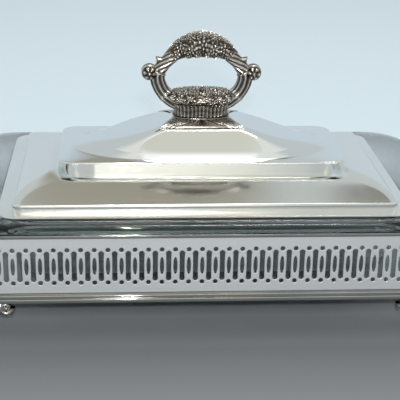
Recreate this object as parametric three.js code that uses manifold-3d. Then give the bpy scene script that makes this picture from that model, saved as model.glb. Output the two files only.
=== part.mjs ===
// A covered casserole dish: a silver-plated stand with a pierced gallery and cast corner feet,
// a clear glass dish that hangs in it by its lip, and a stepped, domed lid with a cast loop handle.
// Lengths are in millimetres. +Z is up, the length runs along X and the front faces -Y.
// The origin is on the ground, under the middle of the stand.
import * as THREE from "three";
import { mergeVertices } from "three/addons/utils/BufferGeometryUtils.js";
import Module from "manifold-3d";

// Clearances and the fineness of round forms
const SEAT_GAP = 0.3; // between pieces that rest on or butt against each other
const CUT_OVERRUN = 2; // how far a cutting tool runs past the face that it opens
const ARC_STEPS = 4; // straight steps in each rounded corner
const ROUND_SIDES = 10; // sides of studs, washers and holes

// Stand, in plan and from the ground up
const STAND_LENGTH = 353;
const STAND_WIDTH = 209;
const STAND_CORNER = 36;
const FOOT_HEIGHT = 28;
const BASE_HEIGHT = 4.6;
const GALLERY_HEIGHT = 39.5;
const RAIL_HEIGHT = 2.6;

// Base moulding: two reeds outside, and a ledge that turns in under the dish
const BASE_RELIEF = 1.8;
const BASE_DEPTH = 4;
const LEDGE_REACH = 12;
const LEDGE_SHEET = 1.6;

// Top rail, a flattened bead that carries the lip of the dish
const RAIL_DEPTH = 4.4;

// Pierced gallery
const GALLERY_SHEET = 1.2;
const GALLERY_INSET = 1.5;
const PIERCING_PITCH = 9.05;
const PIERCING_CENTRE = 19.2; // above the gallery's lower edge
const SLOT_LENGTH = 21.8;
const SLOT_WIDTH = 3.3;
const OVAL_LENGTH = 12.6;
const OVAL_WIDTH = 2.7;
const DOT_DIAMETER = 3.2;
const DOT_SPACING = 23.6;

// Cast corner foot
const FOOT_SPREAD = 68; // along the corner, from scroll to scroll
const FOOT_SHEET = 4.4;
const FOOT_SETBACK = 4.6; // middle of the casting's top, inside the stand's outline
const FOOT_SWELL = 4.2; // how far the knee and the toe stand out
const SCROLL_DIAMETER = 12;
const SCROLL_DEPTH = 5.5;
const SCROLL_EYE_DIAMETER = 5.4;
const SCROLL_EYE_RISE = 1.1;
const SCROLL_SIDES = 8;

// Glass dish
const LIP_SETBACK = 0.5; // the lip's edge, inside the stand's outline
const LIP_CORNER = 33;
const LIP_THICKNESS = 6;
const LIP_ROUND = 2;
const LIP_END_REACH = 34; // the lip's width at the ends, where hands hold the dish
const LIP_SIDE_REACH = 13; // the lip's width at the front and back
const BOWL_CORNER = 30;
const BOWL_TAPER = 13; // how far the bowl's side leans in, from lip to bottom
const BOWL_DEPTH = 42; // below the underside of the lip
const BOWL_ROUND = 5;
const GLASS_WALL = 5;

// Lid: a lower pressing with a flange, a bulge and an upright neck
const LID_SHEET = 1.2;
const LAP_END = 0.5; // how far the lid reaches past the outside of the bowl
const LAP_SIDE = 1.5;
const LID_CORNER = 14;
const FLANGE_REACH = 9.5;
const FLANGE_RISE = 2;
const BULGE_CORNER = 7;
const BULGE_RISE = 8.2;
const BULGE_STEPS = 5;
const SHOULDER_END_RUN = 43; // from the lid's edge in to the neck
const SHOULDER_SIDE_RUN = 52;
const NECK_CORNER = 18;
const NECK_RISE = 10;
const NECK_TAPER = 1.2;
const NECK_LIP = 6;

// Lid: an upper pressing with an overhanging ledge, which sweeps up to the handle's seat
const LEDGE_END_OVERHANG = 3.5; // past the neck
const LEDGE_SIDE_OVERHANG = 3;
const LEDGE_CORNER = 10;
const LEDGE_EDGE = 1.4;
const DOME_RISE = 17.6;
const DOME_SWELL_SHARE = 0.19; // extra roundness of the dome's corners halfway up, as a share of its width
const SEAT_MARGIN = 0.8; // of the dome's flat top, round the handle's skirt
const SEAT_CORNER = 14;

// Handle on the lid
const HANDLE_SKIRT_LENGTH = 68;
const HANDLE_SKIRT_WIDTH = 46;
const HANDLE_BASE_HEIGHT = 23;
const HANDLE_FLUTES = 14;
const HANDLE_FLUTE_DEPTH = 1;
const HANDLE_SPREAD = 70; // between the middles of the loop's two sides
const HANDLE_HEIGHT = 58.2; // from the seat to the middle of the loop's top
const LOOP_ARM_HEIGHT = 11.6;
const LOOP_ARM_DEPTH = 9;
const LOOP_CROWN_HEIGHT = 20;
const LOOP_CROWN_DEPTH = 14;
const LOOP_SIDES = 8;
const LOOP_STEPS = 18;
const KNOB_DIAMETER = 11;
const KNOB_SIDES = 8;
const KNOB_OFFSET = 3.4; // outside the middle of the loop's side

// Fixings of the handle, inside the lid
const STUD_DIAMETER = 5;
const STUD_SPACING = 32;
const STUD_GRIP = 11; // length inside the handle
const STUD_END = 2.5; // length past the nut
const STUD_CLEARANCE = 0.3;
const WASHER_DIAMETER = 12;
const WASHER_THICKNESS = 1.2;
const NUT_ACROSS_FLATS = 8;
const NUT_HEIGHT = 4;
const NUT_SIDES = 6;

// Levels that follow from the sizes above
const baseTop = FOOT_HEIGHT + BASE_HEIGHT;
const galleryBottom = baseTop + SEAT_GAP;
const railBottom = galleryBottom + GALLERY_HEIGHT + SEAT_GAP;
const railTop = railBottom + RAIL_HEIGHT;
const lipBottom = railTop + SEAT_GAP;
const lipTop = lipBottom + LIP_THICKNESS;
const flangeBottom = lipTop + SEAT_GAP;
const bulgeBottom = flangeBottom + LID_SHEET + FLANGE_RISE;
const bulgeTop = bulgeBottom + BULGE_RISE;
const neckTop = bulgeTop + NECK_RISE;
const ledgeBottom = neckTop + SEAT_GAP;
const seatTop = ledgeBottom + LEDGE_EDGE + DOME_RISE;
const handleBottom = seatTop + SEAT_GAP;
const washerTop = seatTop - LID_SHEET - SEAT_GAP;
const nutTop = washerTop - WASHER_THICKNESS - SEAT_GAP;

// Outlines in plan, each from the one that carries it. A grown outline takes the same amount on both
// sides along the length, and another across it.
function grown({ length, width }, alongEach, acrossEach, corner) {
  return { length: length + 2 * alongEach, width: width + 2 * acrossEach, corner };
}

const standOutline = { length: STAND_LENGTH, width: STAND_WIDTH, corner: STAND_CORNER };
const lipOutline = grown(standOutline, -LIP_SETBACK, -LIP_SETBACK, LIP_CORNER);
const bowlOutline = grown(lipOutline, -LIP_END_REACH, -LIP_SIDE_REACH, BOWL_CORNER);
const flangeOutline = grown(bowlOutline, LAP_END, LAP_SIDE, LID_CORNER);
const neckOutline = grown(flangeOutline, -SHOULDER_END_RUN, -SHOULDER_SIDE_RUN, NECK_CORNER);
const ledgeOutline = grown(neckOutline, LEDGE_END_OVERHANG, LEDGE_SIDE_OVERHANG, LEDGE_CORNER);
const skirtSize = { length: HANDLE_SKIRT_LENGTH, width: HANDLE_SKIRT_WIDTH };
const seatOutline = grown(skirtSize, SEAT_MARGIN, SEAT_MARGIN, SEAT_CORNER);

// Materials
const polishedSilver = new THREE.MeshStandardMaterial({ color: 0xe2ded2, metalness: 1, roughness: 0.12 });
const castSilver = new THREE.MeshStandardMaterial({ color: 0xa9a294, metalness: 1, roughness: 0.3 });
const clearGlass = new THREE.MeshStandardMaterial({
  color: 0xdfe8e4,
  metalness: 0,
  roughness: 0.05,
  transparent: true,
  opacity: 0.35,
});
const fixingMetal = new THREE.MeshStandardMaterial({ color: 0xb59a62, metalness: 1, roughness: 0.35 });

const casserole = new THREE.Group();
const wasm = await Module();
wasm.setup();

function addPiece(name, geometry, material) {
  const mesh = new THREE.Mesh(geometry, material);
  mesh.name = name;
  casserole.add(mesh);
}

// Closed solids

// A geometry from points and triangles, turned so that its faces point outwards.
function solidFrom(points, triangles) {
  const signedVolume = triangles.reduce((sum, [a, b, c]) => {
    return sum + points[a].dot(new THREE.Vector3().crossVectors(points[b], points[c]));
  }, 0);
  const faces = signedVolume < 0 ? triangles.map(([a, b, c]) => [a, c, b]) : triangles;
  const geometry = new THREE.BufferGeometry().setFromPoints(points);
  geometry.setIndex(faces.flat());
  return geometry;
}

// Skins a run of rings that have the same number of points. A closed run joins its last ring to its
// first. An open run gets an end at each side, made of strips between the two halves of the ring.
function loft(rings, closed = false) {
  const count = rings[0].length;
  const triangles = [];
  const spans = closed ? rings.length : rings.length - 1;
  for (let span = 0; span < spans; span++) {
    const here = span * count;
    const next = ((span + 1) % rings.length) * count;
    for (let k = 0; k < count; k++) {
      const after = (k + 1) % count;
      triangles.push([here + k, here + after, next + after], [here + k, next + after, next + k]);
    }
  }
  if (!closed) {
    const last = (rings.length - 1) * count;
    for (let k = 0; k < count / 2 - 1; k++) {
      const across = count - 1 - k;
      triangles.push([k, across, across - 1], [k, across - 1, k + 1]);
      triangles.push([last + k, last + across - 1, last + across], [last + k, last + k + 1, last + across - 1]);
    }
  }
  return solidFrom(rings.flat(), triangles.filter(([a, b, c]) => a !== b && b !== c && c !== a));
}

// One ring of points round a rectangle with rounded corners, at one level.
function roundedRing({ length, width, corner, z }) {
  const ring = [];
  for (let quarter = 0; quarter < 4; quarter++) {
    const centreX = (quarter === 0 || quarter === 3 ? 1 : -1) * (length / 2 - corner);
    const centreY = (quarter < 2 ? 1 : -1) * (width / 2 - corner);
    for (let step = 0; step <= ARC_STEPS; step++) {
      const angle = ((quarter + step / ARC_STEPS) * Math.PI) / 2;
      ring.push(
        new THREE.Vector3(centreX + corner * Math.cos(angle), centreY + corner * Math.sin(angle), z),
      );
    }
  }
  return ring;
}

// A rounded rectangle drawn in on all sides by the same amount.
function drawnIn({ length, width, corner }, inset, z) {
  return { length: length - 2 * inset, width: width - 2 * inset, corner: corner - inset, z };
}

// A rounded rectangle part of the way from one to another.
function between(from, to, share, z) {
  return {
    length: THREE.MathUtils.lerp(from.length, to.length, share),
    width: THREE.MathUtils.lerp(from.width, to.width, share),
    corner: THREE.MathUtils.lerp(from.corner, to.corner, share),
    z,
  };
}

function toManifold(geometry) {
  const bare = geometry.clone();
  bare.deleteAttribute("normal");
  bare.deleteAttribute("uv");
  const merged = mergeVertices(bare);
  return new wasm.Manifold(
    new wasm.Mesh({
      numProp: 3,
      vertProperties: new Float32Array(merged.attributes.position.array),
      triVerts: new Uint32Array(merged.index.array),
    }),
  );
}

function fromManifold(manifold) {
  const { vertProperties, triVerts } = manifold.getMesh();
  const geometry = new THREE.BufferGeometry();
  geometry.setAttribute("position", new THREE.BufferAttribute(new Float32Array(vertProperties), 3));
  geometry.setIndex(new THREE.BufferAttribute(new Uint32Array(triVerts), 1));
  return geometry;
}

function joined(geometries) {
  return fromManifold(geometries.map(toManifold).reduce((whole, next) => whole.add(next)));
}

function cutBy(geometry, tools) {
  return fromManifold(tools.map(toManifold).reduce((rest, tool) => rest.subtract(tool), toManifold(geometry)));
}

// An upright cylinder from one level to another.
function uprightCylinder(diameter, from, to, x, sides = ROUND_SIDES) {
  const geometry = new THREE.CylinderGeometry(diameter / 2, diameter / 2, to - from, sides);
  return geometry.rotateX(Math.PI / 2).translate(x, 0, (from + to) / 2);
}

// Stand

// The sections of the mouldings, as shares of relief or depth and of height, going round from the foot
// of the outer face.
const REED_SHARES = [
  [0.4, 0],
  [0, 0.16],
  [0, 0.36],
  [0.6, 0.46],
  [0.3, 0.6],
  [0.3, 0.84],
  [0.7, 1],
];
const RAIL_SHARES = [
  [0.14, 0],
  [0, 0.3],
  [0, 0.75],
  [0.12, 1],
  [0.88, 1],
  [1, 0.75],
  [1, 0.3],
  [0.86, 0],
];

// A moulding swept round the stand: its section holds points of inset and height.
function moulding(section, bottom) {
  return loft(
    section.map(([inset, height]) => roundedRing(drawnIn(standOutline, inset, bottom + height))),
    true,
  );
}

function makeBaseRail() {
  const reeds = REED_SHARES.map(([out, up]) => [out * BASE_RELIEF, up * BASE_HEIGHT]);
  const ledge = [
    [BASE_DEPTH, BASE_HEIGHT],
    [BASE_DEPTH, LEDGE_SHEET],
    [LEDGE_REACH, LEDGE_SHEET],
    [LEDGE_REACH, 0],
  ];
  addPiece("base_rail", moulding([...reeds, ...ledge], FOOT_HEIGHT), polishedSilver);
}

function makeTopRail() {
  const section = RAIL_SHARES.map(([across, up]) => [across * RAIL_DEPTH, up * RAIL_HEIGHT]);
  addPiece("top_rail", moulding(section, railBottom), polishedSilver);
}

// The gallery's line, in the middle of its sheet, from the middle of the front round by the right:
// straight runs and quarter circles in turn.
const sheetMiddle = GALLERY_INSET + GALLERY_SHEET / 2;
const bendRadius = STAND_CORNER - sheetMiddle;
const bendLength = (bendRadius * Math.PI) / 2;
const halfFront = STAND_LENGTH / 2 - STAND_CORNER;
const halfEnd = STAND_WIDTH / 2 - STAND_CORNER;
const galleryLine = 4 * (halfFront + halfEnd + bendLength);

// The piercing repeats a whole even number of times round the stand. It is laid out in quarter pitches:
// a slot at each fourth one, a lens between two dots halfway to the next, and plain metal at the odd ones.
const repeats = 2 * Math.round(galleryLine / PIERCING_PITCH / 2);
const quarterPitch = galleryLine / repeats / 4;

// A place on the gallery's line and a distance out from it, as a point in plan.
function planPoint(along, out) {
  const radius = bendRadius + out;
  const turn = galleryLine / 2;
  const half = Math.floor((along + halfFront) / turn);
  const rest = along + halfFront - half * turn - 2 * halfFront;
  const facing = half % 2 === 0 ? 1 : -1;
  let x = rest + halfFront;
  let y = -halfEnd - radius;
  if (rest > 0 && rest <= bendLength) {
    const angle = rest / bendRadius;
    x = halfFront + radius * Math.sin(angle);
    y = -halfEnd - radius * Math.cos(angle);
  } else if (rest > bendLength && rest <= bendLength + 2 * halfEnd) {
    x = halfFront + radius;
    y = rest - bendLength - halfEnd;
  } else if (rest > bendLength + 2 * halfEnd) {
    const angle = (rest - bendLength - 2 * halfEnd) / bendRadius;
    x = halfFront + radius * Math.cos(angle);
    y = halfEnd + radius * Math.sin(angle);
  }
  return [facing * x, facing * y];
}

// A hole's outline from its corner points, at a place along the strip.
function holeOutline(points, x) {
  return new THREE.Path(points.map(([along, up]) => new THREE.Vector2(x + along, PIERCING_CENTRE + up)));
}

// A long slot with pointed ends.
function slotPoints(halfLength, halfWidth) {
  const shoulder = halfLength - halfWidth;
  return [
    [0, -halfLength],
    [halfWidth, -shoulder],
    [halfWidth, shoulder],
    [0, halfLength],
    [-halfWidth, shoulder],
    [-halfWidth, -shoulder],
  ];
}

// A lens with sharp ends, or a square dot set on its corner.
function lensPoints(halfLength, halfWidth, middle = 0) {
  return [
    [0, middle - halfLength],
    [halfWidth, middle],
    [0, middle + halfLength],
    [-halfWidth, middle],
  ];
}

// The holes at one quarter pitch.
function holesAt(quarter) {
  const x = quarter * quarterPitch;
  if (quarter % 4 === 0) {
    return [holeOutline(slotPoints(SLOT_LENGTH / 2, SLOT_WIDTH / 2), x)];
  }
  const halfDot = DOT_DIAMETER / 2;
  return [
    holeOutline(lensPoints(OVAL_LENGTH / 2, OVAL_WIDTH / 2), x),
    holeOutline(lensPoints(halfDot, halfDot, -DOT_SPACING / 2), x),
    holeOutline(lensPoints(halfDot, halfDot, DOT_SPACING / 2), x),
  ];
}

// Gallery sheet between two places along the line, holed at the given quarter pitches and bent to the line.
function gallerySheet(from, to, quarters) {
  const shape = new THREE.Shape([
    new THREE.Vector2(from, 0),
    new THREE.Vector2(to, 0),
    new THREE.Vector2(to, GALLERY_HEIGHT),
    new THREE.Vector2(from, GALLERY_HEIGHT),
  ]);
  shape.holes.push(...quarters.flatMap(holesAt));
  const sheet = new THREE.ExtrudeGeometry(shape, { depth: GALLERY_SHEET, bevelEnabled: false });
  const position = sheet.attributes.position;
  for (let k = 0; k < position.count; k++) {
    const [x, y] = planPoint(position.getX(k), position.getZ(k) - GALLERY_SHEET / 2);
    position.setXYZ(k, x, y, galleryBottom + position.getY(k));
  }
  return sheet;
}

function evenBetween(first, last) {
  const quarters = [];
  for (let quarter = first + 1; quarter < last; quarter += 2) {
    quarters.push(quarter);
  }
  return quarters;
}

// Eight strips butt end to end in the plain metal: one in each straight side, and one round each corner,
// which is bent in narrow sheets so that it follows the curve.
function makeGallery() {
  const quartersIn = (length) => 2 * Math.floor((length / quarterPitch - 1) / 2) + 1;
  const frontReach = quartersIn(halfFront);
  const endMiddle = repeats;
  const endReach = quartersIn(halfEnd) - ((endMiddle + quartersIn(halfEnd) + 1) % 2);
  const seams = [-frontReach, frontReach, endMiddle - endReach, endMiddle + endReach];
  seams.push(...seams.map((seam) => seam + 2 * repeats));
  const names = ["front", "corner_front_right", "right", "corner_back_right"];
  names.push("back", "corner_back_left", "left", "corner_front_left");
  seams.push(4 * repeats - frontReach);
  names.forEach((name, k) => {
    const quarters = evenBetween(seams[k], seams[k + 1]);
    const from = seams[k] * quarterPitch + SEAT_GAP / 2;
    const to = seams[k + 1] * quarterPitch - SEAT_GAP / 2;
    if (!name.startsWith("corner")) {
      addPiece("gallery_" + name, gallerySheet(from, to, quarters), polishedSilver);
      return;
    }
    const sheets = quarters.map((quarter) => {
      const start = Math.max(from, (quarter - 1) * quarterPitch);
      const end = Math.min(to, (quarter + 1) * quarterPitch);
      return gallerySheet(start, end, [quarter]);
    });
    addPiece("gallery_" + name, joined(sheets), polishedSilver);
  });
}

// The middle of the rounded corner that lies the given number of quarter turns from the front right.
function cornerCentre(quarterTurns) {
  return [quarterTurns < 2 ? halfFront : -halfFront, quarterTurns % 3 === 0 ? -halfEnd : halfEnd];
}

const CORNER_NAMES = ["front_right", "back_right", "back_left", "front_left"];

// Feet

// Width and stand-out of the casting from its top down to the toe, as shares of its half spread and
// of its swell, and its thickness as a share of the sheet.
const FOOT_SHARES = [
  { down: 0, half: 0.76, out: 0, thick: 1 },
  { down: 0.18, half: 0.8, out: 0.7, thick: 1 },
  { down: 0.38, half: 0.54, out: 1, thick: 1 },
  { down: 0.58, half: 0.3, out: 0.55, thick: 1 },
  { down: 0.76, half: 0.21, out: 0.2, thick: 1.1 },
  { down: 0.9, half: 0.24, out: 0.7, thick: 1.35 },
  { down: 1, half: 0.26, out: 1, thick: 1.4 },
];
const FOOT_COLUMNS = 4;

// A foot for a corner that faces +X, with the corner's middle at the origin.
function footGeometry() {
  const top = FOOT_HEIGHT - SEAT_GAP;
  const radius = STAND_CORNER - FOOT_SETBACK;
  const rings = FOOT_SHARES.map(({ down, half, out, thick }) => {
    const face = [];
    for (let column = 0; column <= FOOT_COLUMNS; column++) {
      face.push(((2 * column) / FOOT_COLUMNS - 1) * half * (FOOT_SPREAD / 2));
    }
    const middle = radius + out * FOOT_SWELL;
    const bent = (along, at) =>
      new THREE.Vector3(at * Math.cos(along / radius), at * Math.sin(along / radius), top * (1 - down));
    return [
      ...face.map((along) => bent(along, middle + (thick * FOOT_SHEET) / 2)),
      ...face.reverse().map((along) => bent(along, middle - (thick * FOOT_SHEET) / 2)),
    ];
  });
  const scrolls = [-1, 1].flatMap((side) => {
    const angle = (side * (FOOT_SPREAD - SCROLL_DIAMETER)) / 2 / radius;
    const level = top - SCROLL_DIAMETER / 2;
    const disc = (diameter, depth) =>
      new THREE.CylinderGeometry(diameter / 2, diameter / 2, depth, SCROLL_SIDES)
        .rotateZ(-Math.PI / 2)
        .translate(radius + depth / 2 - FOOT_SHEET / 2, 0, level)
        .rotateZ(angle);
    return [disc(SCROLL_DIAMETER, SCROLL_DEPTH), disc(SCROLL_EYE_DIAMETER, SCROLL_DEPTH + SCROLL_EYE_RISE)];
  });
  return joined([loft(rings), ...scrolls]);
}

function makeFeet() {
  CORNER_NAMES.forEach((corner, quarterTurns) => {
    const foot = footGeometry().rotateZ(((quarterTurns - 0.5) * Math.PI) / 2);
    foot.translate(...cornerCentre(quarterTurns), 0);
    addPiece("foot_" + corner, foot, castSilver);
  });
}

// Glass dish

function makeDish() {
  const bottom = lipBottom - BOWL_DEPTH;
  const floor = bottom + GLASS_WALL;
  const outside = [
    drawnIn(bowlOutline, BOWL_TAPER + BOWL_ROUND, bottom),
    drawnIn(bowlOutline, BOWL_TAPER, bottom + BOWL_ROUND),
    drawnIn(bowlOutline, 0, lipBottom - LIP_ROUND),
    drawnIn(bowlOutline, -LIP_ROUND, lipBottom),
  ];
  const rim = [
    drawnIn(lipOutline, LIP_ROUND, lipBottom),
    drawnIn(lipOutline, 0, lipBottom + LIP_ROUND),
    drawnIn(lipOutline, 0, lipTop - LIP_ROUND),
    drawnIn(lipOutline, LIP_ROUND, lipTop),
  ];
  const inside = [
    drawnIn(bowlOutline, GLASS_WALL - LIP_ROUND, lipTop),
    drawnIn(bowlOutline, GLASS_WALL, lipTop - LIP_ROUND),
    drawnIn(bowlOutline, BOWL_TAPER + GLASS_WALL, floor + BOWL_ROUND),
    drawnIn(bowlOutline, BOWL_TAPER + GLASS_WALL + BOWL_ROUND, floor),
  ];
  addPiece("glass_dish", loft([...outside, ...rim, ...inside].map(roundedRing)), clearGlass);
}

// Lid

// The inner side of a pressing: the same rings, one sheet further in and down.
function innerSide(rings) {
  return rings.map((ring) => drawnIn(ring, LID_SHEET, ring.z - LID_SHEET)).reverse();
}

function makeShoulder() {
  const foot = { ...drawnIn(flangeOutline, FLANGE_REACH), corner: BULGE_CORNER };
  const outer = [drawnIn(flangeOutline, 0, flangeBottom + LID_SHEET)];
  for (let step = 0; step <= BULGE_STEPS; step++) {
    const angle = ((step / BULGE_STEPS) * Math.PI) / 2;
    outer.push(between(foot, neckOutline, 1 - Math.cos(angle), bulgeBottom + BULGE_RISE * Math.sin(angle)));
  }
  outer.push(drawnIn(neckOutline, NECK_TAPER, neckTop));
  const lip = drawnIn(neckOutline, NECK_TAPER + NECK_LIP, neckTop);
  const section = [
    drawnIn(flangeOutline, 0, flangeBottom),
    ...outer,
    lip,
    drawnIn(lip, 0, neckTop - LID_SHEET),
    ...innerSide(outer.slice(1)),
  ];
  addPiece("lid_shoulder", loft(section.map(roundedRing), true), polishedSilver);
}

// The dome's sweep from the ledge to the seat, as shares of the way in and of the rise.
const DOME_SHARES = [
  [0, 0],
  [0.15, 0.06],
  [0.32, 0.2],
  [0.5, 0.42],
  [0.68, 0.67],
  [0.85, 0.88],
  [1, 1],
];

function makeDome() {
  const outer = DOME_SHARES.map(([inward, up]) => {
    const ring = between(ledgeOutline, seatOutline, inward, ledgeBottom + LEDGE_EDGE + up * DOME_RISE);
    ring.corner += DOME_SWELL_SHARE * ring.width * Math.sin(inward * Math.PI);
    return ring;
  });
  const inner = innerSide(outer.slice(1));
  const edge = [drawnIn(ledgeOutline, LID_SHEET, ledgeBottom), drawnIn(ledgeOutline, 0, ledgeBottom)];
  const holes = [-1, 1].map((side) => {
    const x = (side * STUD_SPACING) / 2;
    const diameter = STUD_DIAMETER + 2 * STUD_CLEARANCE;
    return uprightCylinder(diameter, seatTop - LID_SHEET - CUT_OVERRUN, seatTop + CUT_OVERRUN, x);
  });
  addPiece("lid_dome", cutBy(loft([...inner, ...edge, ...outer].map(roundedRing)), holes), polishedSilver);
}

// Handle

// The base's profile from the skirt up to the basket's rim: half length, half width and level as
// shares of the skirt's half sizes and of the base's height, how square its plan is, from an ellipse
// at 0, and whether the flutes show there.
const HANDLE_BASE_SHARES = [
  { half: 1, deep: 1, up: 0, square: 1, fluted: 0 },
  { half: 0.98, deep: 0.98, up: 0.07, square: 1, fluted: 0 },
  { half: 0.76, deep: 0.72, up: 0.2, square: 0.6, fluted: 1 },
  { half: 0.6, deep: 0.54, up: 0.34, square: 0.3, fluted: 1 },
  { half: 0.59, deep: 0.52, up: 0.46, square: 0.3, fluted: 1 },
  { half: 0.67, deep: 0.6, up: 0.52, square: 0.3, fluted: 0 },
  { half: 0.64, deep: 0.56, up: 0.6, square: 0.3, fluted: 1 },
  { half: 0.7, deep: 0.6, up: 0.88, square: 0.3, fluted: 1 },
  { half: 0.58, deep: 0.4, up: 1, square: 0.3, fluted: 0 },
];

// One side of a plan between an ellipse and a rounded rectangle.
function squared(value, square) {
  return Math.sign(value) * Math.abs(value) ** (1 / (1 + square));
}

function handleBase() {
  const points = 2 * HANDLE_FLUTES;
  const rings = HANDLE_BASE_SHARES.map(({ half, deep, up, square, fluted }) => {
    const ring = [];
    for (let k = 0; k < points; k++) {
      const angle = ((k + 0.5) / points) * 2 * Math.PI;
      const groove = fluted * (k % 2) * HANDLE_FLUTE_DEPTH;
      ring.push(
        new THREE.Vector3(
          ((half * HANDLE_SKIRT_LENGTH) / 2 - groove) * squared(Math.cos(angle), square),
          ((deep * HANDLE_SKIRT_WIDTH) / 2 - groove) * squared(Math.sin(angle), square),
          handleBottom + up * HANDLE_BASE_HEIGHT,
        ),
      );
    }
    return ring;
  });
  return loft(rings);
}

// The loop's middle line on one side, from the base up to the crown: distance from the middle as a
// share of half the spread, level as a share of the handle's height, and how far its section has
// grown from the arm's to the crown's.
const KNOB_UP_SHARE = 0.61;
const LOOP_SHARES = [
  { out: 0.6, up: 0.27, grown: 0 },
  { out: 0.86, up: 0.44, grown: 0 },
  { out: 0.98, up: KNOB_UP_SHARE, grown: 0.05 },
  { out: 0.85, up: 0.77, grown: 0.1 },
  { out: 0.58, up: 0.9, grown: 0.42 },
  { out: 0.29, up: 0.975, grown: 0.8 },
  { out: 0, up: 1, grown: 1 },
];

function handleLoop() {
  const side = (sign) =>
    LOOP_SHARES.map(({ out, up, grown }) => {
      const x = (sign * out * HANDLE_SPREAD) / 2;
      return { middle: new THREE.Vector3(x, 0, handleBottom + up * HANDLE_HEIGHT), grown };
    });
  const stations = [...side(-1), ...side(1).reverse().slice(1)];
  const curve = new THREE.CatmullRomCurve3(stations.map(({ middle }) => middle));
  const rings = [];
  for (let step = 0; step <= LOOP_STEPS; step++) {
    const share = step / LOOP_STEPS;
    const middle = curve.getPoint(share);
    const along = curve.getTangent(share);
    const across = new THREE.Vector3(-along.z, 0, along.x);
    const place = share * (stations.length - 1);
    const before = Math.min(Math.floor(place), stations.length - 2);
    const grown = THREE.MathUtils.lerp(
      stations[before].grown,
      stations[before + 1].grown,
      place - before,
    );
    const halfHeight = THREE.MathUtils.lerp(LOOP_ARM_HEIGHT, LOOP_CROWN_HEIGHT, grown) / 2;
    const halfDepth = THREE.MathUtils.lerp(LOOP_ARM_DEPTH, LOOP_CROWN_DEPTH, grown) / 2;
    const ring = [];
    for (let k = 0; k < LOOP_SIDES; k++) {
      const angle = ((k + 0.5) / LOOP_SIDES) * 2 * Math.PI;
      const point = middle.clone().addScaledVector(across, halfHeight * Math.sin(angle));
      point.y += halfDepth * Math.cos(angle);
      ring.push(point);
    }
    rings.push(ring);
  }
  return loft(rings);
}

function makeHandle() {
  const knobs = [-1, 1].map((side) => {
    const x = side * (HANDLE_SPREAD / 2 + KNOB_OFFSET);
    const z = handleBottom + KNOB_UP_SHARE * HANDLE_HEIGHT;
    return new THREE.SphereGeometry(KNOB_DIAMETER / 2, KNOB_SIDES, KNOB_SIDES / 2).translate(x, 0, z);
  });
  const bores = [-1, 1].map((side) => {
    const diameter = STUD_DIAMETER + 2 * STUD_CLEARANCE;
    const x = (side * STUD_SPACING) / 2;
    return uprightCylinder(diameter, handleBottom - CUT_OVERRUN, handleBottom + STUD_GRIP, x);
  });
  const casting = joined([handleBase(), handleLoop(), ...knobs]);
  addPiece("lid_handle", cutBy(casting, bores), castSilver);
}

function makeFixings() {
  for (const [hand, side] of [
    ["left", -1],
    ["right", 1],
  ]) {
    const x = (side * STUD_SPACING) / 2;
    const studBottom = nutTop - NUT_HEIGHT - STUD_END;
    const studTop = handleBottom + STUD_GRIP - SEAT_GAP;
    const hole = uprightCylinder(
      STUD_DIAMETER + 2 * STUD_CLEARANCE,
      studBottom - CUT_OVERRUN,
      studTop + CUT_OVERRUN,
      x,
    );
    const washer = uprightCylinder(WASHER_DIAMETER, washerTop - WASHER_THICKNESS, washerTop, x);
    const nutDiameter = NUT_ACROSS_FLATS / Math.cos(Math.PI / NUT_SIDES);
    const nut = uprightCylinder(nutDiameter, nutTop - NUT_HEIGHT, nutTop, x, NUT_SIDES);
    addPiece("handle_stud_" + hand, uprightCylinder(STUD_DIAMETER, studBottom, studTop, x), fixingMetal);
    addPiece("stud_washer_" + hand, cutBy(washer, [hole]), fixingMetal);
    addPiece("stud_nut_" + hand, cutBy(nut, [hole]), fixingMetal);
  }
}

makeFeet();
makeBaseRail();
makeGallery();
makeTopRail();
makeDish();
makeShoulder();
makeDome();
makeHandle();
makeFixings();

export default casserole;
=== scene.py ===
"""The covered casserole dish, dressed for its picture.

Lengths are in millimetres up to the call that makes a mesh, which turns them into metres. The sizes
at the top repeat those of the solids, and each shape is a formula on a grid of two parameters.
"""

import bmesh
import bpy
import numpy as np
from mathutils import Matrix


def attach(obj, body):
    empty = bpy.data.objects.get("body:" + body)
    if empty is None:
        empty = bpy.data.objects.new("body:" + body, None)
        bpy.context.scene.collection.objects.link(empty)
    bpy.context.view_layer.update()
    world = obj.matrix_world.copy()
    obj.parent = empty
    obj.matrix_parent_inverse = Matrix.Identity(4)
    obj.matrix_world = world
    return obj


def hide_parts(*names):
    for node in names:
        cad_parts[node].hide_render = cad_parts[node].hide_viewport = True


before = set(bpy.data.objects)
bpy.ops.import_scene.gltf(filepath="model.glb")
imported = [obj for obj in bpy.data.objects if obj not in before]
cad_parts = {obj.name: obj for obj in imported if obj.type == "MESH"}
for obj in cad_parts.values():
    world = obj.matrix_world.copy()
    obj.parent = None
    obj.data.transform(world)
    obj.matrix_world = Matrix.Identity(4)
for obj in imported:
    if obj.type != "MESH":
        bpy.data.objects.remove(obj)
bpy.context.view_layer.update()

MILLIMETRE = 0.001

# Stand
STAND_LENGTH, STAND_WIDTH, STAND_CORNER = 353, 209, 36
FOOT_HEIGHT = 28
BASE_HEIGHT = 4.6
GALLERY_HEIGHT = 39.5
RAIL_HEIGHT = 2.6
RAIL_DEPTH = 4.4
SEAT_GAP = 0.3
BASE_DEPTH, BASE_DROP = 4, 2.2
LEDGE_REACH, LEDGE_SHEET = 12, 1.6
GALLERY_SHEET, GALLERY_INSET = 1.2, 1.5
PIERCING_REPEATS = 116
PIERCING_CENTRE = 19.2
SLOT_LENGTH, SLOT_WIDTH = 22.2, 3.3
LENS_LENGTH, LENS_WIDTH = 13, 2.8
DOT_DIAMETER, DOT_SPACING = 3.3, 23.8

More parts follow.
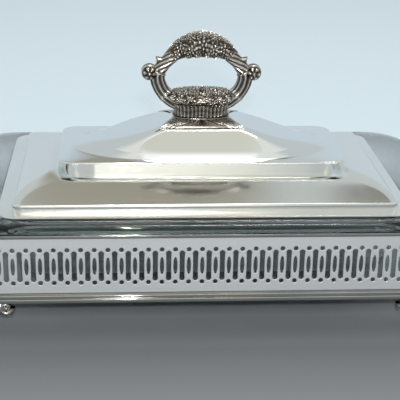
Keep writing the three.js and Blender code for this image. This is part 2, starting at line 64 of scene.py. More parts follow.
# Glass dish
LIP_CORNER, LIP_SETBACK, LIP_THICKNESS = 33, 0.5, 6
LIP_END_REACH, LIP_SIDE_REACH = 34, 13
BOWL_CORNER, BOWL_TAPER, BOWL_DEPTH = 30, 13, 42
GLASS_WALL = 5

# Lid
LID_SHEET = 1.2
LAP_END, LAP_SIDE, LID_CORNER = 0.5, 1.5, 14
FLANGE_REACH, FLANGE_RISE = 9.5, 2
BULGE_CORNER, BULGE_RISE = 7, 8.2
SHOULDER_END_RUN, SHOULDER_SIDE_RUN, NECK_CORNER = 43, 52, 18
NECK_RISE, NECK_LEAN, NECK_LIP = 10, 2.6, 6
FLANGE_LIFT, STEP_RISE, STEP_LEAN = 0.1, 5.2, 1.3
CREST_SHARE, CREST_RISE, CUSHION_POWER, END_LIFT = 0.78, 2.6, 1.45, 1.5
LEDGE_END_OVERHANG, LEDGE_SIDE_OVERHANG, LEDGE_CORNER = 3.5, 3, 10
LEDGE_EDGE = 1.4
DOME_RISE, DOME_SWELL_SHARE = 17.6, 0.97
PANEL_HALF, PANEL_SHARE, PANEL_BEND = 45, 0.45, 66
DOME_BOW, BOW_POWER = 0.3, 1.3
SEAT_MARGIN, SEAT_CORNER = 0.8, 6
CREST_HEIGHT, SEAT_PINCH = 4, 0.36
LEDGE_FOLD_END, LEDGE_FOLD_SIDE = 8, 6
NECK_END_INSET, NECK_TURN, END_PANEL_POWER = 3, 20, 1.8

# Handle
SKIRT_LENGTH, SKIRT_WIDTH = 68, 46
HANDLE_BASE_HEIGHT = 23
FLUTES, TIP_DROOP = 38, 0.6
LOOP_SPREAD, HANDLE_HEIGHT = 70, 58.2
ARM_HEIGHT, ARM_DEPTH = 11.6, 9
CROWN_HEIGHT, CROWN_DEPTH = 20, 14
KNOB_DIAMETER, KNOB_OFFSET, KNOB_UP_SHARE = 12.6, 2.8, 0.63

# Foot
FOOT_SPREAD, FOOT_SHEET, FOOT_SETBACK, FOOT_SWELL = 68, 4.4, 4.6, 4.2
SCROLL_DIAMETER = 12

# Levels
base_top = FOOT_HEIGHT + BASE_HEIGHT
gallery_bottom = base_top + SEAT_GAP
rail_bottom = gallery_bottom + GALLERY_HEIGHT + SEAT_GAP
lip_bottom = rail_bottom + RAIL_HEIGHT + SEAT_GAP
lip_top = lip_bottom + LIP_THICKNESS
flange_bottom = lip_top + SEAT_GAP
bulge_bottom = flange_bottom + LID_SHEET + FLANGE_RISE
bulge_top = bulge_bottom + BULGE_RISE
neck_top = bulge_top + NECK_RISE
ledge_bottom = neck_top + SEAT_GAP
seat_top = ledge_bottom + LEDGE_EDGE + DOME_RISE
handle_bottom = seat_top + SEAT_GAP


# Outlines in plan, as (length, width, corner)

INSET_LOSS = np.array([2, 2, 1])  # what an outline loses of each for an inset of 1


def grown(outline, along, across, corner):
    """An outline taken out by one amount at its ends and another at its sides."""
    return np.array([outline[0] + 2 * along, outline[1] + 2 * across, corner])


def drawn_in(outline, inset):
    """An outline drawn in on all sides, by one inset or by several at once."""
    return np.asarray(outline) - np.multiply.outer(inset, INSET_LOSS)


stand_outline = np.array([STAND_LENGTH, STAND_WIDTH, STAND_CORNER])
lip_outline = grown(stand_outline, -LIP_SETBACK, -LIP_SETBACK, LIP_CORNER)
bowl_outline = grown(lip_outline, -LIP_END_REACH, -LIP_SIDE_REACH, BOWL_CORNER)
flange_outline = grown(bowl_outline, LAP_END, LAP_SIDE, LID_CORNER)
neck_outline = grown(flange_outline, -SHOULDER_END_RUN, -SHOULDER_SIDE_RUN, NECK_CORNER)
ledge_outline = grown(neck_outline, LEDGE_END_OVERHANG, LEDGE_SIDE_OVERHANG, LEDGE_CORNER)
neck_outline = grown(neck_outline, -NECK_END_INSET, 0, NECK_TURN)
seat_outline = grown((SKIRT_LENGTH, SKIRT_WIDTH), SEAT_MARGIN, SEAT_MARGIN, SEAT_CORNER)


def round_once(per_corner=20, per_long=24, per_short=14):
    """Goes once round a rounded rectangle, from the far end of its right side: each quarter circle
    turns, and then a straight side slides the corner's middle from one end to the other. Gives the
    share of the way to the corner's middle along X and along Y, and the direction out."""
    quarter = np.linspace(0, np.pi / 2, per_corner)
    signs = [(1, 1), (-1, 1), (-1, -1), (1, -1)]
    runs = []
    for k, (sx, sy) in enumerate(signs):
        nx, ny = signs[(k + 1) % 4]
        steps = per_long if k % 2 == 0 else per_short
        slide = np.linspace(0, 1, steps + 1, endpoint=False)[1:]
        after = np.full(steps, (k + 1) * np.pi / 2)
        runs.append([np.full(per_corner, sx), np.full(per_corner, sy), quarter + k * np.pi / 2])
        runs.append([sx + (nx - sx) * slide, sy + (ny - sy) * slide, after])
    return [np.concatenate(parts) for parts in zip(*runs)]


def rings(outlines, levels, way=round_once()):
    """Rounded rectangles, one for each outline and level: the corner's middle plus the corner's
    radius in the direction out. The result is indexed by ring, point and axis."""
    along, across, turn = way
    length, width, corner = (np.asarray(outlines)[:, k, None] for k in range(3))
    x = along * (length / 2 - corner) + corner * np.cos(turn)
    y = across * (width / 2 - corner) + corner * np.sin(turn)
    z = np.broadcast_to(np.asarray(levels, float)[:, None], x.shape)
    return np.stack([x, y, z], -1)


FINE_WAY = round_once(per_corner=36)


# Lines and sections

def smooth_run(knots, steps):
    """A curve through knots: between two of them a cubic whose slope at each knot is half the step
    from the knot before to the knot after, or at an end the whole step to the next."""
    knots = np.asarray(knots, float)
    slope = np.gradient(knots, axis=0)
    t = (np.arange(steps) / steps)[None, :, None]
    start, end = knots[:-1, None], knots[1:, None]
    from_start, to_end = slope[:-1, None], slope[1:, None]
    run = (
        (2 * t**3 - 3 * t**2 + 1) * start
        + (t**3 - 2 * t**2 + t) * from_start
        + (3 * t**2 - 2 * t**3) * end
        + (t**3 - t**2) * to_end
    )
    return np.concatenate([run.reshape(-1, knots.shape[1]), knots[-1:]])


def full_turn(steps):
    """Angles that go once round."""
    return np.linspace(0, 2 * np.pi, steps, endpoint=False)


def arc(middle, radius, first, last, steps):
    """Part of a circle in a section, from one angle in degrees to another. Angle 0 points outwards,
    which is towards less inset, and 90 points up."""
    angle = np.radians(np.linspace(first, last, steps))
    return np.stack([middle[0] - radius * np.cos(angle), middle[1] + radius * np.sin(angle)], -1)


# Shares between 0 and 1

def rising(value, start, run):
    """0 up to the start, then evenly up to 1 over the run."""
    return np.clip((value - start) / run, 0, 1)


def falling(value, end, run):
    """1 until a run before the end, then evenly down to 0."""
    return np.clip((end - value) / run, 0, 1)


def bell(distance, width):
    """1 at distance 0, falling away on both sides like a bell."""
    return np.exp(-((distance / width) ** 2))


def wave(angle):
    """A cosine raised and halved, so that it goes between 0 and 1."""
    return 0.5 + 0.5 * np.cos(angle)


def squared(circular, power):
    """A cosine or sine with its size raised to a power and its sign kept."""
    return np.sign(circular) * np.abs(circular) ** power


# Meshes

MERGED, SLIVER = 0.004, 0.002  # points this near are merged, and edges this short go


def grid_faces(rows, columns, close_rows=False):
    """The quads of a grid of points. Its last column joins its first, and so does its last row where
    the rows are closed."""
    row = np.arange(rows if close_rows else rows - 1)
    row, column = np.meshgrid(row, np.arange(columns), indexing="ij")
    next_row, next_column = (row + 1) % rows, (column + 1) % columns
    corners = [(row, column), (row, next_column), (next_row, next_column), (next_row, column)]
    return np.stack([r * columns + c for r, c in corners], -1).reshape(-1, 4)


def grid(points, relief=1.0, **closed):
    """A grid as a piece takes it: its points, its faces and its relief."""
    return points, grid_faces(*points.shape[:2], **closed), relief


def pooled(grids):
    """Several grids as one: their points, their faces and their values at each point."""
    points, faces, relief = [], [], []
    start = 0
    for part_points, part_faces, part_relief in grids:
        flat = part_points.reshape(-1, 3)
        points.append(flat)
        faces.append(part_faces + start)
        relief.append(np.broadcast_to(part_relief, part_points.shape[:-1]).reshape(-1))
        start += len(flat)
    return np.concatenate(points), np.concatenate(faces), np.concatenate(relief)


def make_piece(name, grids, body, nodes, material, sharp=35):
    """A mesh of pooled grids. Points that meet are merged, faces are turned outwards, and edges
    sharper than the given angle in degrees stay sharp. The piece takes the place of the given nodes."""
    points, faces, relief = pooled(grids)
    mesh = bpy.data.meshes.new(name)
    mesh.from_pydata(points * MILLIMETRE, [], faces)
    mesh.attributes.new("relief", "FLOAT", "POINT").data.foreach_set("value", relief)
    work = bmesh.new()
    work.from_mesh(mesh)
    bmesh.ops.remove_doubles(work, verts=work.verts, dist=MERGED * MILLIMETRE)
    bmesh.ops.dissolve_degenerate(work, edges=work.edges, dist=SLIVER * MILLIMETRE)
    bmesh.ops.recalc_face_normals(work, faces=work.faces)
    work.to_mesh(mesh)
    work.free()
    mesh.validate()
    mesh.shade_smooth()
    mesh.set_sharp_from_angle(angle=np.radians(sharp))
    mesh.materials.append(material)
    piece = bpy.data.objects.new(name, mesh)
    bpy.context.scene.collection.objects.link(piece)
    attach(piece, body)
    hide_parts(*nodes)


# Materials

MIX_FACTOR, MIX_FIRST, MIX_SECOND, MIX_COLOUR = 0, 6, 7, 2  # the colour mixer's sockets


class Value:
    """A socket of a node tree that adds, multiplies and compares like a number."""

    def __init__(self, paint, socket):
        self.paint = paint
        self.socket = socket

    def __add__(self, other):
        return self.paint.maths("ADD", self, other)

    def __mul__(self, other):
        return self.paint.maths("MULTIPLY", self, other)

    def __sub__(self, other):
        return self.paint.maths("SUBTRACT", self, other)

    def __rsub__(self, other):
        return self.paint.maths("SUBTRACT", other, self)

    def __truediv__(self, other):
        return self.paint.maths("DIVIDE", self, other)

    def clamped(self):
        """The value held between 0 and 1."""
        return self.paint.maths("ADD", self, 0.0, use_clamp=True)

    def between(self, low, high):
        """0 below low, 1 above high, and a smooth step from one to the other."""
        sockets = {"Value": self, "From Min": low, "From Max": high}
        return self.paint.node("ShaderNodeMapRange", {"interpolation_type": "SMOOTHSTEP"}, sockets)


class Paint:
    """A material or world's node tree, emptied, with one method that makes any node."""

    def __init__(self, tree):
        self.tree = tree
        tree.nodes.clear()

    def node(self, kind, settings=None, sockets=None, output=0):
        """A node of a kind: its settings first, then values or links for its sockets, which are
        given by name or in order. Returns one of its outputs."""
        made = self.tree.nodes.new(kind)
        for key, value in (settings or {}).items():
            setattr(made, key, value)
        pairs = enumerate(sockets) if isinstance(sockets, list) else (sockets or {}).items()
        for key, value in pairs:
            if isinstance(value, Value):
                self.tree.links.new(value.socket, made.inputs[key])
            else:
                made.inputs[key].default_value = value
        return Value(self, made.outputs[output]) if len(made.outputs) else made

    def maths(self, operation, *terms, **settings):
        return self.node("ShaderNodeMath", {"operation": operation, **settings}, list(terms))

    def coordinates(self, kind="Object"):
        """Object coordinates, or another kind by its name."""
        return self.node("ShaderNodeTexCoord", output=kind)

    def along_axes(self, vector):
        """The three parts of a vector, along X, Y and Z."""
        outputs = self.node("ShaderNodeSeparateXYZ", {}, [vector]).socket.node.outputs
        return [Value(self, output) for output in outputs]

    def relief(self):
        """The piece's relief: from 0 in the recesses to 1 on the high parts, and on the stand's sheets
        from 0 where shade is painted to 1 where they are lit.
        """
        return self.node("ShaderNodeAttribute", {"attribute_name": "relief"}, output="Fac")

    def noise(self, scale, detail, stretch=(1, 1, 1), roughness=0.5):
        place = self.node("ShaderNodeMapping", {}, {"Vector": self.coordinates(), "Scale": stretch})
        sockets = {"Vector": place, "Scale": scale, "Detail": detail, "Roughness": roughness}
        return self.node("ShaderNodeTexNoise", {}, sockets)

    def mixed(self, factor, first, second):
        """A colour between two, by a factor from 0 to 1."""
        sockets = {MIX_FACTOR: factor, MIX_FIRST: first, MIX_SECOND: second}
        return self.node("ShaderNodeMix", {"data_type": "RGBA"}, sockets, output=MIX_COLOUR)

    def ramp(self, factor, stops):
        """A colour by a factor from 0 to 1, which runs evenly from one stop to the next."""
        made = self.node("ShaderNodeValToRGB", {}, [factor])
        elements = made.socket.node.color_ramp.elements
        while len(elements) < len(stops):
            elements.new(1.0)
        for element, (place, colour) in zip(elements, stops):
            element.position = place
            element.color = colour
        return made

    def bump(self, height, distance, strength, normal=None):
        """A normal tilted by a height field that is a distance in millimetres deep."""
        sockets = {"Strength": strength, "Distance": distance * MILLIMETRE, "Height": height}
        if normal is not None:
            sockets["Normal"] = normal
        return self.node("ShaderNodeBump", {}, sockets)

    def surface(self, sockets):
        shader = self.node("ShaderNodeBsdfPrincipled", {}, sockets)
        self.node("ShaderNodeOutputMaterial", {}, {"Surface": shader})


def new_paint(name):
    material = bpy.data.materials.new(name)
    material.use_nodes = True
    return material, Paint(material.node_tree)


def tinted(level, tint):
    return (*(level * share for share in tint), 1)


SILVER = (0.93, 0.925, 0.885, 1)
COOL_SILVER = (0.92, 0.935, 0.93, 1)
CLEAR = (0.93, 0.965, 0.95, 1)
GREEN_RIM = (0.38, 0.44, 0.43, 1)
# darker copies of the silver plate for the top rail and the base: painted shade that dims what they
# reflect
RAIL_SHADED_SILVER = (0.36, 0.37, 0.37, 1)
BASE_SHADED_SILVER = (0.55, 0.555, 0.53, 1)
# near black for the stand's inner faces: painted shade
INSIDE_SHADE = (0.09, 0.09, 0.085, 1)
WORN_SILVER = (0.84, 0.825, 0.78, 1)
OXIDE = (0.03, 0.024, 0.018, 1)
SMOKED = (0.115, 0.095, 0.078, 1)
SMOKY_SILVER = (0.43, 0.395, 0.35, 1)
SATIN_SILVER = (0.79, 0.805, 0.82, 1)
WORN_SATIN = (0.71, 0.72, 0.73, 1)
BRIGHT_BRASS = (0.72, 0.56, 0.27, 1)
BROWN_BRASS = (0.45, 0.33, 0.16, 1)
SHADE_TO_LIT = (0.2, 0.8)  # the relief at which plate is wholly painted shade, and wholly lit


def polished_silver(name, plate, softness):
    """Mirror plate: hair-fine wiping scratches, faint clouds of tarnish, and a slow unevenness of the
    hand-polished sheet. Where the piece's relief is low, inside the stand, it is rougher and painted
    dark as shade."""
    material, paint = new_paint(name)
    outside = paint.relief().between(*SHADE_TO_LIT)
    clouds = paint.noise(scale=14, detail=4, roughness=0.6).between(0.45, 0.75)
    hairs = paint.noise(scale=900, detail=2, stretch=(0.25, 1, 1)).between(0.5, 0.8)
    waves = paint.bump(paint.noise(scale=22, detail=2), distance=0.12, strength=0.35)
    tarnish, cloud_haze, hair_haze, inner_haze = 0.25, 0.05, 0.04, 0.45
    colour = paint.mixed(clouds * tarnish, plate, WORN_SILVER)
    haze = clouds * cloud_haze + hairs * hair_haze + softness
    paint.surface({
        "Base Color": paint.mixed(outside, INSIDE_SHADE, colour),
        "Metallic": 1.0,
        "Roughness": haze + (1 - outside) * inner_haze,
        "Normal": paint.bump(hairs, distance=0.004, strength=0.4, normal=waves),
    })
    return material


def satin_silver():
    """The gallery's sheet: plated without a high polish, with fine rolling marks along it, and rougher
    and painted dark as shade on its inner face."""
    material, paint = new_paint("satin silver plate")
    marks = paint.noise(scale=700, detail=3, stretch=(0.08, 0.08, 1))
    clouds = paint.noise(scale=16, detail=4, roughness=0.6)
    outside = paint.relief().between(*SHADE_TO_LIT)
    tarnish, mark_haze, cloud_haze, inner_haze, softness = 0.5, 0.12, 0.1, 0.3, 0.32
    colour = paint.mixed(clouds.between(0.4, 0.8) * tarnish, SATIN_SILVER, WORN_SATIN)
    paint.surface({
        "Base Color": paint.mixed(outside, INSIDE_SHADE, colour),
        "Metallic": 0.6,
        "Roughness": marks * mark_haze + clouds * cloud_haze + softness + (1 - outside) * inner_haze,
        "Normal": paint.bump(marks, distance=0.01, strength=0.5),
    })
    return material


def cast_silver():
    """Castings, by the piece's relief: brown-black oxide in the recesses, smoky silver above them, and
    bright only on the high parts, which are also the smoothest."""
    material, paint = new_paint("oxidised cast silver")
    grain = paint.noise(scale=420, detail=4, roughness=0.7)
    grain_share, recess_haze, polish = 0.35, 0.4, 0.26
    high = (paint.relief() + (grain - 0.5) * grain_share).clamped()
    colour = paint.ramp(high, [(0.08, OXIDE), (0.3, SMOKED), (0.58, SMOKY_SILVER), (0.85, SILVER)])
    paint.surface({
        "Base Color": colour,
        "Metallic": 1.0,
        "Roughness": recess_haze - high * polish,
        "Normal": paint.bump(grain, distance=0.1, strength=0.5),
    })
    return material


def clear_glass():
    """Pressed oven glass: clear, with a slow ripple from the mould, a greener rim, and a floor dulled
    by use. At the lip's ends, except in front, the ripple is deeper and the surface softer and
    shinier."""
    material, paint = new_paint("clear pressed glass")
    x, y, z = paint.along_axes(paint.coordinates())
    lip_ends = paint.maths("ABSOLUTE", x).between(0.12, 0.15) * y.between(-0.06, 0.0)
    lip_ends = lip_ends * z.between(0.07, 0.075)
    wall = z.between(0.04, 0.06)
    deep_ripple, end_haze, floor_haze = 4, 0.2, 0.35
    ripple = paint.noise(scale=40, detail=2, stretch=(1, 0.5, 1))
    ripple = ripple + paint.noise(scale=26, detail=1, stretch=(1, 0.3, 1)) * lip_ends * deep_ripple
    paint.surface({
        "Base Color": paint.mixed(paint.relief(), CLEAR, GREEN_RIM),
        "Roughness": (1 - wall) * floor_haze + lip_ends * end_haze,
        "IOR": 1.474,
        "Transmission Weight": 1.0,
        "Coat Weight": lip_ends,
        "Coat IOR": 2.4,
        "Normal": paint.bump(ripple, distance=0.45, strength=0.5),
    })
    return material


def turned_brass():
    """Studs, washers and nuts: plain brass with turning marks and a little tarnish."""
    material, paint = new_paint("turned brass")
    marks = paint.noise(scale=900, detail=2, stretch=(0.1, 0.1, 1))
    clouds = paint.noise(scale=180, detail=3).between(0.4, 0.7)
    mark_haze, softness = 0.15, 0.22
    paint.surface({
        "Base Color": paint.mixed(clouds, BRIGHT_BRASS, BROWN_BRASS),
        "Metallic": 1.0,
        "Roughness": marks * mark_haze + softness,
        "Normal": paint.bump(marks, distance=0.02, strength=0.4),
    })
    return material


SHEET = polished_silver("polished silver plate", SILVER, 0.135)
DOME_SHEET = polished_silver("cool silver plate", COOL_SILVER, 0.06)
# the top rail and the base take the darker copies of the plate, as painted shade
RAIL_SHEET = polished_silver("shaded rail silver plate", RAIL_SHADED_SILVER, 0.05)
BASE_SHEET = polished_silver("shaded base silver plate", BASE_SHADED_SILVER, 0.05)
SATIN = satin_silver()
CAST = cast_silver()
GLASS = clear_glass()
BRASS = turned_brass()


# Stand

# relief of the mouldings' inner parts, which paints them dark as shade
INNER_SHADE_RELIEF = 0.42
RAIL_SQUARING, RAIL_INNER_EDGE = 0.35, 0.6


def swept_moulding(section, bottom, shaded_from):
    """A section of (inset, height) carried round the stand's outline and closed on itself. Its relief
    is low, and so it is rougher and painted dark as shade, where the inset is more than a given one."""
    points = rings(drawn_in(stand_outline, section[:, 0]), bottom + section[:, 1])
    relief = np.where(section[:, 0] > shaded_from, INNER_SHADE_RELIEF, 1.0)[:, None]
    return grid(points, relief, close_rows=True)


REED_EDGE, LOWER_REED_ROUND, LOWER_REED_SHOULDER = 0.4, 0.7, -0.1
UPPER_REED_ROUND, UPPER_REED_INSET, UPPER_REED_FOOT, UPPER_REED_SHOULDER = 0.6, 0.4, 1.7, 2.6
GROOVE_INSET, GROOVE_FOOT, GROOVE_TOP = 1.6, 0.6, 1.25
COVE_INSET, COVE_FOOT, COVE_TOP = 2.2, 3.3, 4.3
LEDGE_FILLET, DROP_BACK = 0.6, 2.5


def make_base_rail():
    """Two flat reeds outside, with a groove between them and a cove above, and a ledge that turns in
    under the dish. The lower reed hangs below the ledge."""
    upper_inset = UPPER_REED_INSET + REED_EDGE
    section = np.concatenate([
        arc((REED_EDGE, REED_EDGE - BASE_DROP), REED_EDGE, -90, 0, 6),
        arc((LOWER_REED_ROUND, LOWER_REED_SHOULDER), LOWER_REED_ROUND, 0, 85, 8),
        [(GROOVE_INSET, GROOVE_FOOT), (GROOVE_INSET, GROOVE_TOP)],
        arc((upper_inset, UPPER_REED_FOOT), REED_EDGE, -80, 0, 6),
        arc((UPPER_REED_INSET + UPPER_REED_ROUND, UPPER_REED_SHOULDER), UPPER_REED_ROUND, 0, 85, 8),
        [(COVE_INSET, COVE_FOOT), (COVE_INSET, COVE_TOP), (GROOVE_INSET, BASE_HEIGHT)],
        [(BASE_DEPTH - REED_EDGE, BASE_HEIGHT), (BASE_DEPTH, BASE_HEIGHT - REED_EDGE)],
        [(BASE_DEPTH, LEDGE_SHEET + LEDGE_FILLET), (BASE_DEPTH + LEDGE_FILLET, LEDGE_SHEET)],
        arc((LEDGE_REACH - LEDGE_SHEET / 2, LEDGE_SHEET / 2), LEDGE_SHEET / 2, 90, 270, 8),
        [(DROP_BACK, 0), (GROOVE_INSET, -BASE_DROP)],
    ])
    moulding = swept_moulding(section, FOOT_HEIGHT, BASE_DEPTH - 1)
    make_piece("base_moulding", [moulding], "stand", ["base_rail"], BASE_SHEET)


def make_top_rail():
    """A flattened bead: half its depth times a cosine, half its height times a sine, both squared."""
    angle = full_turn(40)
    across = RAIL_DEPTH / 2 * (1 - squared(np.cos(angle), RAIL_SQUARING))
    height = RAIL_HEIGHT / 2 * (1 + squared(np.sin(angle), RAIL_SQUARING))
    bead = swept_moulding(np.stack([across, height], -1), rail_bottom, RAIL_DEPTH - RAIL_INNER_EDGE)
    make_piece("top_bead", [bead], "stand", ["top_rail"], RAIL_SHEET)


sheet_middle = GALLERY_INSET + GALLERY_SHEET / 2
bend_radius = STAND_CORNER - sheet_middle
bend_length = bend_radius * np.pi / 2
half_front = STAND_LENGTH / 2 - STAND_CORNER
half_end = STAND_WIDTH / 2 - STAND_CORNER
gallery_line = 4 * (half_front + half_end + bend_length)
pitch = gallery_line / PIERCING_REPEATS


def bent_to_stand(along, out, height):
    """Carries (along, out, height) onto the gallery's line, which goes from the middle of the front
    round by the right: straight runs, and quarter circles of the bend's radius. Half of the line is
    worked out, and the other half is turned half round."""
    turn = gallery_line / 2
    half = np.floor((along + half_front) / turn)
    rest = along + half_front - half * turn - 2 * half_front
    facing = np.where(half % 2 == 0, 1, -1)
    radius = bend_radius + out
    end_start, end_stop = bend_length, bend_length + 2 * half_end
    first, second = rest / bend_radius, (rest - end_stop) / bend_radius
    stretches = [rest <= 0, rest <= end_start, rest <= end_stop]
    x = np.select(
        stretches,
        [rest + half_front, half_front + radius * np.sin(first), half_front + radius],
        half_front + radius * np.cos(second),
    )
    y = np.select(
        stretches,
        [-half_end - radius, -half_end - radius * np.cos(first), rest - bend_length - half_end],
        half_end + radius * np.sin(second),
    )
    return np.stack([facing * x, facing * y, gallery_bottom + height], -1)


ACROSS_STEPS, DOT_STEPS, LENS_STEPS = 3, 3, 8
BAND_REACH, LENS_REACH = 14.6, 9.1  # from the middle of the piercing to the edges of its patches
SLOT_SWELL, SWELL_LENGTH = 0.13, 1.5
RIM_ROUND, RIM_DROP = 0.3, 0.25
ALL_BUT_ONE = 0.999  # a share of at least this lies on the side of a patch
LIGHT_FROM, LIGHT_RUN = -72, 30


def patch_outline(middle, half_width, levels):
    """Round a rectangle from its lower left corner: along the bottom, up the right side through the
    given levels, back along the top and down the left side."""
    across = np.linspace(-half_width, half_width, ACROSS_STEPS + 1)
    bottom = np.stack([across[:-1], np.full(ACROSS_STEPS, levels[0])], -1)
    right = np.stack([np.full(len(levels) - 1, half_width), levels[:-1]], -1)
    top = np.stack([across[:0:-1], np.full(ACROSS_STEPS, levels[-1])], -1)
    left = np.stack([np.full(len(levels) - 1, -half_width), levels[:0:-1]], -1)
    return np.concatenate([bottom, right, top, left]) + [middle, 0]


def share_of_patch(outline):
    """Each point of a patch's outline in shares of the patch's half sizes, from its middle."""
    centre = (outline.min(0) + outline.max(0)) / 2
    return (outline - centre) / (outline.max(0) - centre)


def oval_hole(outline, middle, size):
    """The hole's point for each point of the patch: the direction from the patch's middle, in shares
    of its half sizes, gives the angle on the hole's ellipse."""
    share = share_of_patch(outline)
    angle = np.arctan2(share[:, 1], share[:, 0])
    return np.stack([size[0] / 2 * np.cos(angle), size[1] / 2 * np.sin(angle)], -1) + middle


def slot_hole(outline, middle, size):
    """A long slot with round ends, a little wider there than at its waist. Corners of the patch go
    to 45 degrees on the ends, and the sides run evenly between them."""
    half_width, half_length = size[0] / 2, size[1] / 2
    share = share_of_patch(outline)
    reach = half_length - half_width
    quarter = half_width * np.pi / 4
    side = np.abs(share[:, 0]) > ALL_BUT_ONE
    travel = np.abs(share[:, 1]) * (reach + quarter)
    past = np.clip(travel - reach, 0, None) / half_width
    side_x = np.sign(share[:, 0]) * half_width * np.cos(past)
    side_y = np.sign(share[:, 1]) * (np.minimum(travel, reach) + half_width * np.sin(past))
    end_angle = share[:, 0] * np.pi / 4
    end_x = half_width * np.sin(end_angle)
    end_y = np.sign(share[:, 1]) * (reach + half_width * np.cos(end_angle))
    x, y = np.where(side, side_x, end_x), np.where(side, side_y, end_y)
    swell = 1 + SLOT_SWELL * bell(np.abs(y) - reach, SWELL_LENGTH)
    return np.stack([x * swell, y], -1) + middle


def pierced_patch(outline, hole_shape, middle, size):
    """One hole in its patch: from the patch's edge to the hole's rim, over a small round, through the
    sheet, and back along the inner face."""
    rim = hole_shape(outline, middle, np.add(size, 2 * RIM_ROUND))
    hole = hole_shape(outline, middle, size)
    half = GALLERY_SHEET / 2
    lines = [(outline, half), (rim, half), (hole, half - RIM_DROP), (hole, -half), (outline, -half)]
    flat = np.stack([line for line, _ in lines])
    out = np.array([depth for _, depth in lines])[:, None]
    return flat[..., 0], np.broadcast_to(out, flat.shape[:2]), flat[..., 1]


def painted_inner_shade(out, points):
    """The gallery's relief, which paints its shade: 1 outside and at the rims of holes. Inside it goes
    from 0 in the stand's front part, painted dark as shade, to 1 further back, where more light gets
    in."""
    return np.where(out > 0, 1.0, rising(points[..., 1], LIGHT_FROM, LIGHT_RUN))


def make_gallery():
    """The pierced sheet: a slot, and a lens between two dots, each in its own patch, repeated round
    the stand between plain bands, and bent to the stand's line."""
    dot_levels = np.linspace(LENS_REACH, BAND_REACH, DOT_STEPS + 1)
    lens_levels = np.linspace(-LENS_REACH, LENS_REACH, LENS_STEPS + 1)
    all_levels = np.concatenate([-dot_levels[::-1], lens_levels[1:-1], dot_levels])
    quarter = pitch / 4
    slot = patch_outline(0, quarter, all_levels + PIERCING_CENTRE)
    lens = patch_outline(2 * quarter, quarter, lens_levels + PIERCING_CENTRE)
    upper = patch_outline(2 * quarter, quarter, dot_levels + PIERCING_CENTRE)
    lower = patch_outline(2 * quarter, quarter, PIERCING_CENTRE - dot_levels[::-1])
    dot = np.full(2, DOT_DIAMETER)
    patches = [
        pierced_patch(slot, slot_hole, (0, PIERCING_CENTRE), (SLOT_WIDTH, SLOT_LENGTH)),
        pierced_patch(lens, oval_hole, (2 * quarter, PIERCING_CENTRE), (LENS_WIDTH, LENS_LENGTH)),
        pierced_patch(upper, oval_hole, (2 * quarter, PIERCING_CENTRE + DOT_SPACING / 2), dot),
        pierced_patch(lower, oval_hole, (2 * quarter, PIERCING_CENTRE - DOT_SPACING / 2), dot),
    ]
    shift = np.arange(PIERCING_REPEATS)[:, None, None] * pitch
    parts = []
    for along, out, height in patches:
        points = bent_to_stand(*np.broadcast_arrays(along + shift, out, height))
        faces = grid_faces(*along.shape)
        offsets = (np.arange(PIERCING_REPEATS) * along.size)[:, None, None]
        parts.append((points, (faces + offsets).reshape(-1, 4), painted_inner_shade(out, points)))
    across = np.linspace(-1, 1, ACROSS_STEPS + 1)[:-1]
    columns = np.concatenate([across, across + 2])
    along = (np.arange(PIERCING_REPEATS)[:, None] * pitch + columns * quarter).ravel()
    half = GALLERY_SHEET / 2
    low, high = PIERCING_CENTRE - BAND_REACH, PIERCING_CENTRE + BAND_REACH
    for inner, edge in ((low, 0), (high, GALLERY_HEIGHT)):
        height = np.array([inner, edge, edge, inner])[:, None]
        out = np.array([half, half, -half, -half])[:, None]
        points = bent_to_stand(*np.broadcast_arrays(along, out, height))
        parts.append(grid(points, painted_inner_shade(out, points)))
    nodes = [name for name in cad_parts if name.startswith("gallery_")]
    make_piece("pierced_gallery", parts, "stand", nodes, SATIN, 30)


# Glass dish

GLASS_FLOOR_ROUND, MOUTH_ROUND = 6, 3
LIP_LOWER_ROUND, LIP_UPPER_ROUND = 2.2, 2.6
GLASS_NECK = [(0.7, -5), (-0.2, -2), (-2.0, -0.4), (-4.5, 0)]  # inset, height from the lip's bottom
LIP_TURN = 4  # rings at the lip's inner edge that are as clear as the bowl


def make_dish():
    """The dish's section carried round: floor, side and lip outside, and lip, side and floor inside,
    with every edge rounded. Its first and last rings close at the middle of the floor. Its relief is 1
    on the lip."""
    bottom = lip_bottom - BOWL_DEPTH
    floor = bottom + GLASS_WALL
    turned = GLASS_FLOOR_ROUND
    foot = arc((BOWL_TAPER + turned, bottom + turned), turned, -90, -16, 10)
    neck = smooth_run(np.add(GLASS_NECK, [0, lip_bottom]), 4)
    outside = np.concatenate([foot, neck])
    lip = np.concatenate([
        arc((LIP_LOWER_ROUND, lip_bottom + LIP_LOWER_ROUND), LIP_LOWER_ROUND, -90, 0, 8),
        arc((LIP_UPPER_ROUND, lip_top - LIP_UPPER_ROUND), LIP_UPPER_ROUND, 0, 90, 10),
    ])
    mouth = arc((GLASS_WALL - MOUTH_ROUND, lip_top - MOUTH_ROUND), MOUTH_ROUND, 90, 170, 9)
    low = arc((BOWL_TAPER + GLASS_WALL + turned, floor + turned), turned, -15, -90, 9)
    inside = np.concatenate([mouth, low])
    outlines = np.concatenate([
        [[0, 0, 0]],
        drawn_in(bowl_outline, outside[:, 0]),
        drawn_in(lip_outline, lip[:, 0]),
        drawn_in(bowl_outline, inside[:, 0]),
        [[0, 0, 0]],
    ])
    levels = np.concatenate([[bottom], outside[:, 1], lip[:, 1], inside[:, 1], [floor]])
    points = rings(outlines, levels)
    rim = np.zeros(len(levels))
    rim[1 + len(outside):][:len(lip) - LIP_TURN] = 1
    dish = [grid(points, rim[:, None])]
    make_piece("pressed_glass_dish", dish, "dish", ["glass_dish"], GLASS, 60)


# Lid

STEP_SHOULDER, EDGE_FLATNESS = 0.9, 0.9
RING_SPACING, DOME_CUBIC, FOLD_SHARE = 1.3, (0.61, 0.74, -0.35), 0.8
CORNER_START, BOW_START = 0.1, 0.125  # shares of the sweep


